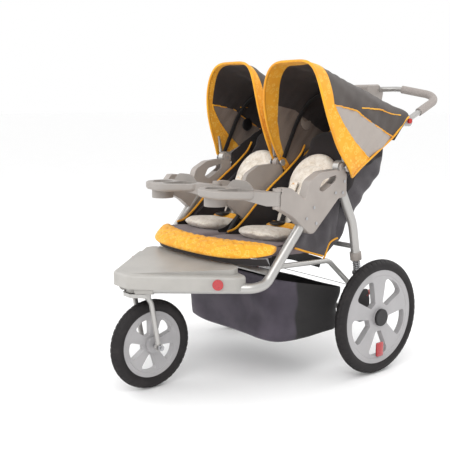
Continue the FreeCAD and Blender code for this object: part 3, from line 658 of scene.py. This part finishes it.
# ---- canopies ----
CANOPY_IN = 0.018
CANOPY_OUT = 0.331
FAR_BACK = math.radians(5.5)
MIDDLE_LEAN = math.radians(64)
CLOTH = 0.0016
HUB = (-0.131, 0.717)
RIDGE = [
    (-0.236, 1.064), (-0.187, 1.058), (-0.127, 1.041), (-0.047, 1.013), (0.030, 0.988), (0.090, 0.964),
    (0.145, 0.943), (0.190, 0.922),
]
HEM = [
    (-0.107, 0.686), (-0.062, 0.713), (-0.019, 0.738), (0.040, 0.773), (0.102, 0.810), (0.140, 0.842),
    (0.168, 0.869), (0.186, 0.880),
]
SEAM_OUTER = [(0.69, 0.030), (0.743, -0.020), (0.804, -0.093), (0.868, -0.150), (0.922, -0.181), (1.1, -0.186)]
SEAM_INNER = [(0.69, -0.080), (0.743, -0.117), (0.797, -0.139), (0.868, -0.157), (0.949, -0.163), (1.1, -0.186)]
WINDOW_TOP = [(-0.3, 0.925), (-0.181, 0.922), (-0.075, 0.903), (-0.045, 0.885), (0.039, 0.841), (0.109, 0.809)]
FLAP_EDGE = [(-0.045, 0.912), (0.010, 0.909), (0.060, 0.905), (0.076, 0.899), (0.110, 0.890), (0.150, 0.886)]


def canopy_rib(v, u, back=0.0):
    """A point of the canopy: u goes up one side, over and down, and v from the front edge back.

    Each rib runs from the hem, through a middle point pushed forward, to the ridge as a square curve of
    the rise; the ribs are squarish at the front and round at the back. The front ribs turn back about the
    hub by the angle back, for a canopy that isn't opened as far, and a small flare covers the hub's bolt.
    """
    ridge = spline(RIDGE, 200)
    hem = spline(HEM, 200)
    stops = np.linspace(0, 1, 200)
    top = np.stack([np.interp(v, stops, ridge[:, i]) for i in (0, 1)], axis=-1)
    foot = np.stack([np.interp(v, stops, hem[:, i]) for i in (0, 1)], axis=-1)
    angle = u * math.pi
    squareness = 0.446 + 0.62 * v**1.6
    wide = -np.sign(np.cos(angle)) * np.abs(np.cos(angle)) ** squareness
    rise = np.abs(np.sin(angle)) ** (0.778 + 0.15 * v)
    bulge = 0.077 * (1 - v) ** 2
    middle = (top + foot) / 2 - np.stack([bulge, 0 * bulge], axis=-1)
    r = rise[..., None]
    flat = foot * (1 - r) ** 2 + middle * 2 * r * (1 - r) + top * r**2
    half = (CANOPY_OUT - CANOPY_IN) / 2
    x = (CANOPY_OUT + CANOPY_IN) / 2 + half * wide
    sag = 0.006 * np.sin(np.pi * np.clip(v * 2.3 - 0.3, 0, 1)) * rise
    y, z = flat[..., 0] - HUB[0], flat[..., 1] - sag - HUB[1]
    turn = back * (1 - v) ** 1.5
    y, z = y * np.cos(turn) + z * np.sin(turn), z * np.cos(turn) - y * np.sin(turn)
    x = x + 0.014 * np.exp(-(y**2 + z**2) / 0.045**2) * (u > 0.5)
    return np.stack([x, y + HUB[0], z + HUB[1]], axis=-1)


def on_canopy(line, low, high):
    """Side-view points laid on the canopy, on the part of its ribs between low and high."""
    u, v = np.meshgrid(np.linspace(low, high, 160), np.linspace(0, 1, 200))
    skin = canopy_rib(v, u).reshape(-1, 3)
    gap = np.linalg.norm(skin[None, :, 1:] - line[:, None], axis=-1)
    return skin[gap.argmin(axis=1)]


def seam_gap(grid):
    """How far the gold band's seam is behind each point, between the inner side's line and the outer's."""
    share = np.clip((grid[..., 0] - CANOPY_IN) / (CANOPY_OUT - CANOPY_IN), 0, 1)
    inner = np.interp(grid[..., 2], *zip(*SEAM_INNER))
    outer = np.interp(grid[..., 2], *zip(*SEAM_OUTER))
    return inner * (1 - share) + outer * share - grid[..., 1]


def canopies():
    """Each canopy is one curved sheet with its piping, fixed in place in the model's frame."""
    for label, side in SIDES:
        u, v = np.meshgrid(np.linspace(0, 1, 145), np.linspace(0, 1, 97))
        back = 0.0 if side > 0 else FAR_BACK
        grid = canopy_rib(v, u, back)
        field = grid[..., 1] * 46 + grid[..., 2] * 21
        crease = 0.0022 * np.sin(field + 3 * np.sin(grid[..., 0] * 30)) * np.clip(v * 6, 0, 1)
        ripple = grid[..., 1] * 120 - grid[..., 2] * 90 + grid[..., 0] * 20
        crease += 0.0012 * np.sin(ripple) * np.clip(v * 4, 0, 1)
        grid[..., 2] += crease * np.sin(u * math.pi)
        grid[..., 0] += crease * np.cos(u * math.pi)
        band = seam_gap(grid)
        window = np.interp(grid[..., 1], *zip(*WINDOW_TOP)) - grid[..., 2]
        shown = grid if side > 0 else grid[:, ::-1] * (-1, 1, 1)
        name = f"canopy_{label}"
        mesh = mesh_of(name, shown[:, ::-1], wrap_ring=False)
        for key, values in (("band", band), ("window", window)):
            mark(mesh, key, values[:, ::-1] if side > 0 else values)
        ends = ("upper_frame", name, tuple(np.array([side * 0.17, 0.06, 0.86]) + LIFT),
                tuple(np.array([side * 0.17, -0.15, 0.93]) + LIFT))
        cover = piece(name, mesh, "canopy_out", name, closed=False, blend=ends,
                      replaces=(f"canopy_visor_{label}", f"canopy_shell_{label}"))
        mesh.materials.append(finishes["canopy_in"])
        thicken(cover, CLOTH, offset=-1, material_offset=1)
        span = np.linspace(0, 1, 60)
        lines = [
            ("front_piping", canopy_rib(np.zeros(90), np.linspace(0, 1, 90), back), 0.0048),
            ("hem_piping_outer", canopy_rib(span, np.ones(60), back), 0.0036),
            ("hem_piping_inner", canopy_rib(span, np.zeros(60), back), 0.0036),
            ("window_piping", on_canopy(spline(WINDOW_TOP[1:], 60), 0.55, 1.0), 0.0026),
            ("flap_piping", on_canopy(spline(FLAP_EDGE, 60), 0.55, 1.0), 0.0026),
            ("seam_piping", on_canopy(spline([(y, z) for z, y in SEAM_OUTER[1:5]], 60), 0.6, 1.0), 0.0026),
        ]
        for kind, path, radius in lines:
            line = mirror(path, side)
            tube = along(line, ring(2 * radius, 2 * radius, 10), (1, 0.2, 0.1))
            front = (f"front_bow_{label}",) if kind == "front_piping" else ()
            mesh = mesh_of(kind, tube)
            piece(f"{kind}_{label}", mesh, "trim", name, blend=ends, replaces=front)


def bow_sleeves():
    """Black cloth sleeves round the middle bows, the front bows' sockets and a round port in the far wall."""
    lean = np.array([0, math.cos(MIDDLE_LEAN), math.sin(MIDDLE_LEAN)])
    hub = np.array([0, HUB[0], HUB[1]])
    low, high = 0.0245, 0.3185
    arch = [
        (low, 0.020), (low, 0.10), (low + 0.003, 0.17), (low + 0.024, 0.230), (low + 0.070, 0.268),
        (0.1715, 0.284), (high - 0.070, 0.268), (high - 0.024, 0.230), (high - 0.003, 0.17), (high, 0.10),
        (high, 0.020),
    ]
    for label, side in SIDES:
        line = np.array([hub + (x, 0, 0) + reach * lean for x, reach in arch])
        path = mirror(spline(line, 110), side)
        broad = (0, -math.sin(MIDDLE_LEAN), math.cos(MIDDLE_LEAN))
        grid = along(path, ring(0.007, 0.016, 16, 4.0), broad)
        piece(f"bow_sleeve_{label}", mesh_of("bow_sleeve", grid), "strap", f"bow_{label}",
              replaces=(f"middle_bow_{label}",))
        for place, x in (("inner", 0.0135), ("outer", 0.3235)):
            foot = np.array([x, -0.1345, 0.737])
            tip = np.array([x, -0.146, 0.800])
            run = np.linspace(0, 1, 8)[:, None]
            sizes = 1 - 0.38 * run[:, 0]
            path = mirror(foot + (tip - foot) * run, side)
            grid = along(path, ring(0.0125, 0.0125, 16, 3.0), (1, 0, 0), sizes=sizes)
            piece(f"bow_socket_{place}_{label}", mesh_of("bow_socket", grid), "tube", f"canopy_{label}")
        centre = np.array([0.0235, -0.012, 0.868]) if side > 0 else np.array([-0.3235, 0.0, 0.842])
        shape = ring(0.058, 0.074, 40) if side > 0 else ring(0.05, 0.05, 40)
        path = centre + np.linspace(0, 1, 3)[:, None] * np.array([0.003, 0, 0])
        grid = along(path, shape, (0, 0, 1), sizes=[1.0, 1.0, 0.9])
        piece(f"canopy_port_{label}", mesh_of("port", grid), "net" if side > 0 else "black", "upper_frame")


def curtains():
    """Dark cloth under each canopy's back edge, in folds that grow downwards, and a flap beside the seat."""
    for label, side in SIDES:
        u = np.linspace(0.0, 1.0, 97)
        edge = canopy_rib(np.ones(97), u)
        drop = np.linspace(0, 1, 30)[:, None]
        x = edge[None, :, 0] * (1 - drop * 0.06) + drop * 0.06 * 0.174
        y = edge[None, :, 1] - drop * 0.062
        z = edge[None, :, 2] * (1 - drop) + drop * 0.800
        fold = 0.004 * np.sin(u[None] * 44) * drop
        grid = np.stack([x, y + fold, z], axis=-1) * (side, 1, 1)
        name = f"canopy_curtain_{label}"
        cloth_piece = piece(name, mesh_of(name, grid, wrap_ring=False), "charcoal", "upper_frame", closed=False)
        thicken(cloth_piece, CLOTH)
        low_line = spline([(-0.118, 0.668), (-0.060, 0.690), (0.020, 0.712), (0.100, 0.745)], 50)
        high_line = spline([(-0.112, 0.735), (-0.040, 0.782), (0.040, 0.826), (0.110, 0.862)], 50)
        t = np.linspace(0, 1, 20)[:, None, None]
        flat = low_line * (1 - t) + high_line * t
        wave = 0.0025 * np.sin(flat[..., 0] * 90 + flat[..., 1] * 40)
        grid = np.concatenate([(0.286 + wave)[..., None], flat], axis=-1) * (side, 1, 1)
        name = f"canopy_side_{label}"
        flap = piece(name, mesh_of(name, grid, wrap_ring=False), "lining", "upper_frame", closed=False)
        thicken(flap, CLOTH)


# ---- seats ----
SEAT_X = 0.149
LIP_HALF = 0.294
LIP_ROOT = 0.470
PANEL = 0.002


def side_line(x, points):
    """Side-view points as points at one place across."""
    return [(x, y, z) for y, z in points]


def plump(mesh, cap):
    """Remeshes a pad evenly and blows it up as cloth; no point moves further than cap."""
    scene = bpy.context.scene
    pad = bpy.data.objects.new("pad", mesh)
    scene.collection.objects.link(pad)
    even_out = pad.modifiers.new("even", "REMESH")
    even_out.mode = "VOXEL"
    even_out.voxel_size = 0.005
    graph = bpy.context.evaluated_depsgraph_get()
    pad.data = bpy.data.meshes.new_from_object(pad.evaluated_get(graph))
    pad.modifiers.clear()
    start = np.empty(len(pad.data.vertices) * 3)
    pad.data.vertices.foreach_get("co", start)
    cover = pad.modifiers.new("cover", "CLOTH")
    cover.settings.quality = 5
    cover.settings.mass = 0.2
    cover.settings.tension_stiffness = 12
    cover.settings.compression_stiffness = 12
    cover.settings.shear_stiffness = 5
    cover.settings.bending_stiffness = 0.4
    cover.settings.use_pressure = True
    cover.settings.uniform_pressure_force = 4
    cover.settings.effector_weights.gravity = 0
    cover.point_cache.frame_start = 1
    cover.point_cache.frame_end = 20
    for number in range(1, 21):
        scene.frame_set(number)
    graph = bpy.context.evaluated_depsgraph_get()
    blown = np.empty(len(start))
    pad.evaluated_get(graph).data.vertices.foreach_get("co", blown)
    scene.frame_set(1)
    pad.modifiers.clear()
    step = (blown - start).reshape(-1, 3)
    reach = np.linalg.norm(step, axis=1, keepdims=True)
    step *= np.minimum(1, cap / np.maximum(reach, 1e-9))
    result = pad.data
    result.vertices.foreach_set("co", (start.reshape(-1, 3) + step).ravel())
    result.update()
    bpy.data.objects.remove(pad)
    return result


def soft_piece(name, mesh, finish, body, replaces=(), cap=0.008):
    """A pad: blown up as cloth, then smoothed by one subdivision."""
    outward(mesh)
    obj = piece(name, plump(mesh, cap), finish, body, replaces=replaces)
    smooth = obj.modifiers.new("smooth", "SUBSURF")
    smooth.levels = 1
    smooth.render_levels = 1
    return obj


WING_TOP = [
    (-0.385, 0.492), (-0.348, 0.501), (-0.303, 0.535), (-0.252, 0.580), (-0.191, 0.632), (-0.104, 0.692),
    (-0.045, 0.740), (-0.020, 0.776),
]
OUTER_TOP = [
    (-0.330, 0.478), (-0.300, 0.512), (-0.250, 0.560), (-0.191, 0.618), (-0.104, 0.690), (-0.045, 0.740),
    (-0.020, 0.776),
]
WING_BOTTOM = [
    (-0.380, 0.476), (-0.34, 0.472), (-0.29, 0.468), (-0.22, 0.466), (-0.16, 0.49), (-0.10, 0.60),
    (-0.03, 0.73),
]


def wings():
    """Side panels of the seats: a ruled sheet between its top and bottom lines, with a slack billow."""
    count = 80
    for label, side in SIDES:
        for place, x in (("inner", 0.0265), ("outer", 0.2715)):
            edge = OUTER_TOP if (place, label) == ("outer", "left") else WING_TOP
            top = spline(side_line(x, edge), count)
            bottom = spline(side_line(x, WING_BOTTOM), count)
            t = np.linspace(0, 1, 24)[:, None, None]
            grid = bottom * (1 - t) + top * t
            run = np.linspace(0, 1, count)[None]
            lean = 1 if place == "outer" else -1
            slack = 0.0028 * np.sin(run * 23 + t[..., 0] * 5) * np.sin(t[..., 0] * math.pi)
            grid[..., 0] += lean * slack
            name = f"seat_wing_{place}_{label}"
            grid = mirror(grid, side)
            panel = piece(name, mesh_of(name, grid, wrap_ring=False), "lining", "chassis",
                          replaces=("seat_wings",), closed=False)
            thicken(panel, PANEL, offset=0)
            if (place, label) != ("inner", "right"):
                cord_piece(f"wing_piping_{place}_{label}", mirror(side_line(x, edge), side), 0.0038, "trim",
                           "chassis", up=(1, 0, 0))


SKIRT_TOP = [(-0.345, 0.488), (-0.28, 0.535), (-0.21, 0.585), (-0.14, 0.635), (-0.09, 0.670)]
SKIRT_BOTTOM = [(-0.338, 0.474), (-0.309, 0.463), (-0.245, 0.441), (-0.178, 0.420), (-0.125, 0.452)]


def skirts():
    """Grey cloth outside each seat, gathered in folds from the plate down to a piped hem."""
    for label, side in SIDES:
        top = spline(side_line(0.268, SKIRT_TOP), 90)
        bottom = spline(side_line(0.276, SKIRT_BOTTOM), 90)
        t = np.linspace(0, 1, 40)[:, None, None]
        grid = bottom * (1 - t) + top * t
        run = np.linspace(0, 1, 90)[None]
        puff = np.sin(t[..., 0] * math.pi)
        folds = np.sin(run * 26 + 3.0 * t[..., 0]) * 0.5 + np.sin(run * 11 - 4.0 * t[..., 0] + 1.0)
        grid[..., 0] += puff * (0.007 + 0.0045 * folds)
        name = f"seat_skirt_{label}"
        panel = piece(name, mesh_of(name, mirror(grid, side), wrap_ring=False), "dusk", "chassis", closed=False)
        thicken(panel, PANEL)
        hem = cord_piece(f"skirt_piping_{label}", mirror(side_line(0.277, SKIRT_BOTTOM[1:4]), side), 0.0036,
                         "trim", "chassis", up=(1, 0, 0))
        rise = [(-0.180, 0.404), (-0.168, 0.420), (-0.150, 0.457), (-0.128, 0.470), (-0.108, 0.474)]
        tab = cord_piece(f"skirt_cord_{label}", mirror(side_line(0.279, rise), side), 0.0032, "trim", "chassis",
                         up=(1, 0, 0))
        under = [(-0.40, 0.440), (-0.33, 0.444), (-0.245, 0.418), (-0.180, 0.396)]
        strap_piece(f"seat_valance_{label}", mirror(side_line(0.270, under), side), 0.034, 0.003, "strap",
                    "chassis", up=(1, 0, 0))


def lip_front(x):
    """How far the lip reaches forward at x, as a share: full in the middle and rounded off to the corners."""
    return np.clip(1 - np.abs(x / (LIP_HALF + 0.004)) ** 4.5, 0.0, 1) ** 0.5


def lip():
    """The quilted apron: a sloping padded section whose depth shrinks to rounded front corners."""
    section = spline([
        (-0.548, 0.443), (-0.554, 0.452), (-0.540, 0.468), (-0.506, 0.489), (-0.472, 0.498), (-0.448, 0.497),
        (-0.434, 0.488), (-0.434, 0.468), (-0.470, 0.452), (-0.520, 0.441),
    ], 60, closed=True)
    x = LIP_HALF * np.sin(np.linspace(-1, 1, 150) * math.pi / 2)
    share = lip_front(x)[:, None]
    ends = 0.036 * np.abs(x[:, None] / LIP_HALF) ** 2.2
    back = -0.440 + ends - 0.046 * (1 - (x[:, None] / LIP_HALF) ** 2)
    front = -0.434 + ends - 0.120 * share
    grid = np.empty((150, 60, 3))
    grid[..., 0] = x[:, None]
    grid[..., 1] = back + (section[None, :, 0] + 0.434) / 0.120 * np.maximum(back - front, 0.012)
    grid[..., 2] = LIP_ROOT + (section[None, :, 1] - LIP_ROOT) * (0.25 + 0.75 * share)
    grid[..., 2] -= 0.007 * (1 - (x[:, None] / LIP_HALF) ** 2) * np.clip((grid[..., 2] - 0.45) * 25, 0, 1)
    slope = np.clip((grid[..., 2] - 0.455) * 40, 0, 1) * share
    scale = np.sin(grid[..., 0] * TAU / 0.042 + np.sin(grid[..., 1] * TAU / 0.05) * 0.8)
    rows = np.sin((grid[..., 1] + grid[..., 0] * 0.25) * TAU / 0.034)
    grid[..., 2] += slope * 0.0022 * scale * rows
    roll = piece("seat_lip", mesh_of("seat_lip", grid), "quilt", "chassis", replaces=("seat_front_pad",))
    wide = np.sin(np.linspace(-1, 1, 90) * math.pi / 2) * (LIP_HALF - 0.006)
    front = -0.434 + 0.036 * np.abs(wide / LIP_HALF) ** 2.2 - 0.110 * lip_front(wide)
    deep = np.linspace(0, 1, 8)[:, None]
    band = np.stack([
        wide[None] + 0 * deep,
        front[None] + 0.016 * deep,
        0.449 - 0.024 * deep - 0.006 * np.abs(wide[None] / LIP_HALF) ** 3,
    ], axis=-1)
    mesh = mesh_of("lip_valance", band, wrap_ring=False)
    valance = piece("lip_valance", mesh, "lining", "chassis", closed=False)
    thicken(valance, PANEL)


def slab(section, x, squareness):
    """A side-view section carried from x[0] to x[-1] and closed in towards its middle at both ends."""
    middle = (x - (x[0] + x[-1]) / 2) / ((x[-1] - x[0]) / 2)
    end = np.clip(1 - np.abs(middle) ** squareness, 0, 1) ** 0.5 * 0.9 + 0.1
    centre = section.mean(axis=0)
    grid = np.empty((len(x), len(section), 3))
    grid[..., 0] = x[:, None]
    grid[..., 1:] = centre + (section - centre)[None] * end[:, None, None]
    return grid


def deck():
    """The seats' cloth top: a thin pad with soft edges."""
    section = spline([
        (-0.500, 0.446), (-0.503, 0.474), (-0.478, 0.486), (-0.400, 0.486), (-0.290, 0.474), (-0.140, 0.456),
        (-0.132, 0.432), (-0.290, 0.430),
    ], 40, closed=True)
    for label, side in SIDES:
        grid = slab(section, np.linspace(0.004, 0.276, 50), 12) * (side, 1, 1)
        grid[..., 1] = np.maximum(grid[..., 1], -0.503 + 0.065 * (np.abs(grid[..., 0]) / 0.276) ** 4)
        pad = piece(f"seat_deck_{label}", mesh_of("deck", grid), "mauve", "chassis", replaces=("seat_base",))


BACK_FRONT = [
    (-0.150, 0.468), (-0.168, 0.505), (-0.120, 0.600), (-0.072, 0.690), (-0.020, 0.785), (0.010, 0.830),
]
BACK_REAR = [
    (-0.118, 0.446), (-0.066, 0.452), (-0.030, 0.515), (0.070, 0.615), (0.112, 0.650), (0.146, 0.700),
    (0.150, 0.764), (0.110, 0.826),
]


def backs():
    """Seat backs: each row is a squarish oval between the front and rear outlines of the side view."""
    front = spline(BACK_FRONT, 70)
    rear = spline(BACK_REAR, 70)
    centre = (front + rear) / 2
    half = (rear - front) / 2
    v = np.linspace(0, 1, 70)
    close = np.clip(1 - np.abs(2 * v - 1) ** 16, 0, 1) ** 0.5 * 0.98 + 0.02
    t = np.linspace(0, TAU, 80, endpoint=False)
    c, s = squarish(t, 0.42)
    for label, side in SIDES:
        grid = np.empty((70, 80, 3))
        grid[..., 0] = SEAT_X + 0.121 * c[None] * close[:, None]
        grid[..., 1] = centre[:, :1] + half[:, :1] * s[None] * close[:, None]
        grid[..., 2] = centre[:, 1:] + half[:, 1:] * s[None] * close[:, None]
        fold = 0.004 * np.sin(v[:, None] * 17 + 2.2 * np.sin(t[None] * 3)) * np.clip(s[None], 0, 1)
        grid[..., 1] += fold
        drape = 0.0032 * np.sin(v[:, None] * 30 + grid[..., 1] * 55) * np.abs(c[None])
        grid[..., 0] += drape * np.sign(c[None])
        name = f"seat_back_shell_{label}"
        shell = piece(name, mesh_of(name, grid * (side, 1, 1)), "dusk", f"back_{label}",
                      replaces=(f"seat_back_{label}",))
        shell.data.materials.append(finishes["lining"])
        places = np.empty(len(shell.data.polygons) * 3)
        shell.data.polygons.foreach_get("center", places)
        places = places.reshape(-1, 3) - LIFT
        divide = np.interp(places[:, 2], centre[:, 1], centre[:, 0]) - 0.02
        shell.data.polygons.foreach_set("material_index", (places[:, 1] < divide).astype(np.int32))


def pillow(name, centre, across, up, size, finish, body, replaces=(), power=3.2, swell=0.006):
    """A stuffed oblong: two domes back to back; the height falls to the seam as one less the distance cubed."""
    a = unit(np.asarray(across, float))
    b = unit(np.asarray(up, float))
    c = np.cross(a, b)
    t = np.linspace(0, TAU, 72, endpoint=False)[None]
    s = np.sin(np.linspace(0, 1, 22)[:, None] * math.pi / 2)
    edge = np.abs(np.cos(t)) ** power + np.abs(np.sin(t)) ** power
    reach = s / edge ** (1 / power)
    pinch = 1 + 0.03 * np.cos(4 * t)
    flat = np.stack([reach * np.cos(t) * size[0] / 2, reach * np.sin(t) * size[1] / 2 * pinch], axis=-1)
    height = size[2] / 2 * (1 - s**3) ** 0.5 + 0 * t
    middle = np.asarray(centre) + flat[..., :1] * a + flat[..., 1:] * b
    front = middle + height[..., None] * c
    back = middle - height[..., None] * c
    mesh = mesh_of(name, np.vstack([front, back[::-1][1:]]))
    if swell:
        return soft_piece(name, mesh, finish, body, replaces, cap=swell)
    obj = piece(name, mesh, finish, body, replaces=replaces)
    return obj


def inserts():
    """Cream pads of each seat: seat pad, back pad, head pad and the horseshoe round the head."""
    lean = np.array([0, 0.116, 0.220])
    up = unit(lean)
    for label, side in SIDES:
        body = f"back_{label}"
        pillow(f"seat_pad_{label}", (side * 0.152, -0.286, 0.494), (side, 0, 0), (0, 1, -0.10),
               (0.176, 0.246, 0.032), "fleece", "chassis", replaces=("seat_cushions",), power=4.0)
        pillow(f"back_pad_{label}", (side * SEAT_X, -0.146, 0.602), (side, 0, 0), lean, (0.190, 0.262, 0.028),
               "fleece", body, replaces=(f"back_cushion_{label}",), power=4.5)
        pillow(f"head_pad_{label}", (side * SEAT_X, -0.086, 0.676), (side, 0, 0), lean, (0.128, 0.132, 0.03),
               "fleece", body)
        turn = np.linspace(-0.2, 1.2, 60) * math.pi
        path = arc((side * SEAT_X, -0.104, 0.655), np.array([0.080, 0, 0]), up * 0.080, turn)
        taper = np.sin(np.linspace(0.12, 0.88, 60) * math.pi) ** 0.35
        grid = along(path, ring(0.052, 0.050, 20), (0, -0.9, 0.4), sizes=taper)
        soft_piece(f"head_hugger_{label}", mesh_of("hugger", grid), "fleece", body)


def harness():
    """Two shoulder straps with their covers, a waist strap and a buckle in each seat."""
    facing = (0, -0.9, 0.4)
    for label, side in SIDES:
        back = f"back_{label}"
        for k, shift in ((1, -0.034), (2, 0.034)):
            x = SEAT_X + shift
            line = [
                (x, -0.150, 0.655), (x, -0.176, 0.60), (x + shift * 0.1, -0.198, 0.55),
                (x - shift * 0.2, -0.225, 0.522), (x - shift * 0.7, -0.262, 0.514),
            ]
            strap_piece(f"shoulder_strap_{k}_{label}", mirror(line, side), 0.024, 0.002, "strap", back, facing)
            cover = mirror(np.array(line[:3]) + (0, -0.005, 0.002), side)
            strap_piece(f"strap_cover_{k}_{label}", cover, 0.034, 0.008, "fleece", back, facing)
            turn = np.linspace(0, TAU, 14, endpoint=False)
            loop = arc((x, -0.170, 0.627), np.array([0.010, 0, 0]), np.array([0, 0.393, 0.919]) * 0.026, turn)
            cord_piece(f"strap_motif_{k}_{label}", mirror(loop, side), 0.0026, "trim", back, closed=True,
                       up=facing)
        waist = [
            (0.052, -0.205, 0.502), (0.085, -0.240, 0.516), (0.149, -0.262, 0.520), (0.213, -0.240, 0.516),
            (0.246, -0.205, 0.502),
        ]
        strap_piece(f"waist_strap_{label}", mirror(waist, side), 0.030, 0.005, "gold", "chassis", (0, -0.5, 1))
        pillow(f"buckle_{label}", (side * SEAT_X, -0.266, 0.525), (1, 0, 0), (0, 1, 0), (0.046, 0.050, 0.014),
               "black", "chassis", power=4, swell=0)


def basket():
    """A sagging bag: squarish ovals from the rim down to the bottom, whose rim slopes down to the back."""
    t = np.linspace(0, TAU, 120, endpoint=False)[None]
    v = np.linspace(0, 1, 40)[:, None]
    cx, cy = squarish(t, 0.3)
    rim = 0.325 - 0.038 * cy
    z = 0.14 + (rim - 0.14) * np.clip(v * 1.2 - 0.12, 0, 1)
    shrink = np.clip(v * 9, 0, 1) ** 0.5
    x = 0.271 * cx * shrink * (0.94 + 0.06 * v)
    y = -0.206 + (0.152 + 0.012 * v) * cy * shrink
    x = x + 0.004 * np.sin(z * 60 + y * 30) * np.abs(cx)
    y = y + 0.004 * np.sin(z * 50 + x * 22) * np.abs(cy)
    grid = np.stack([x, y, z], axis=-1)
    mesh = mesh_of("basket_bag", grid, caps=False)
    mark(mesh, "front", np.broadcast_to(np.clip(-cy, 0, 1), z.shape))
    bag = piece("basket_bag", mesh, "basket", "chassis", replaces=("basket",), closed=False)
    thicken(bag, PANEL)


def under_straps():
    """A strap each side from the seat's front corner down to the basket's rim."""
    for label, side in SIDES:
        line = mirror([(0.27, -0.343, 0.398), (0.275, -0.2, 0.352), (0.28, -0.06, 0.306)], side)
        strap_piece(f"under_strap_{label}", line, 0.014, 0.002, "strap", "chassis", (0, 0, 1))


# ---- floor ----
def floor():
    """A pale flat floor."""
    x = np.linspace(-60, 60, 5)
    grid = np.stack(np.meshgrid(x, x, indexing="ij"), axis=-1)
    grid = np.concatenate([grid, np.zeros(grid.shape[:2] + (1,))], axis=-1)
    ground = bpy.data.objects.new("floor", mesh_of("floor", grid, wrap_ring=False))
    bpy.context.scene.collection.objects.link(ground)
    finish = Finish("floor_paper")
    grain = finish.noise(3.0, 3.0)
    finish.set("Base Color", finish.mix(grain, tone(252, 252, 252), tone(255, 255, 255)))
    finish.set("Roughness", grain * 0.1 + 0.85)
    ground.data.materials.append(finish.material)


studio()
floor()
dress_frame()
wheel_pieces()
canopies()
bow_sleeves()
curtains()
wings()
skirts()
lip()
deck()
backs()
inserts()
harness()
basket()
under_straps()
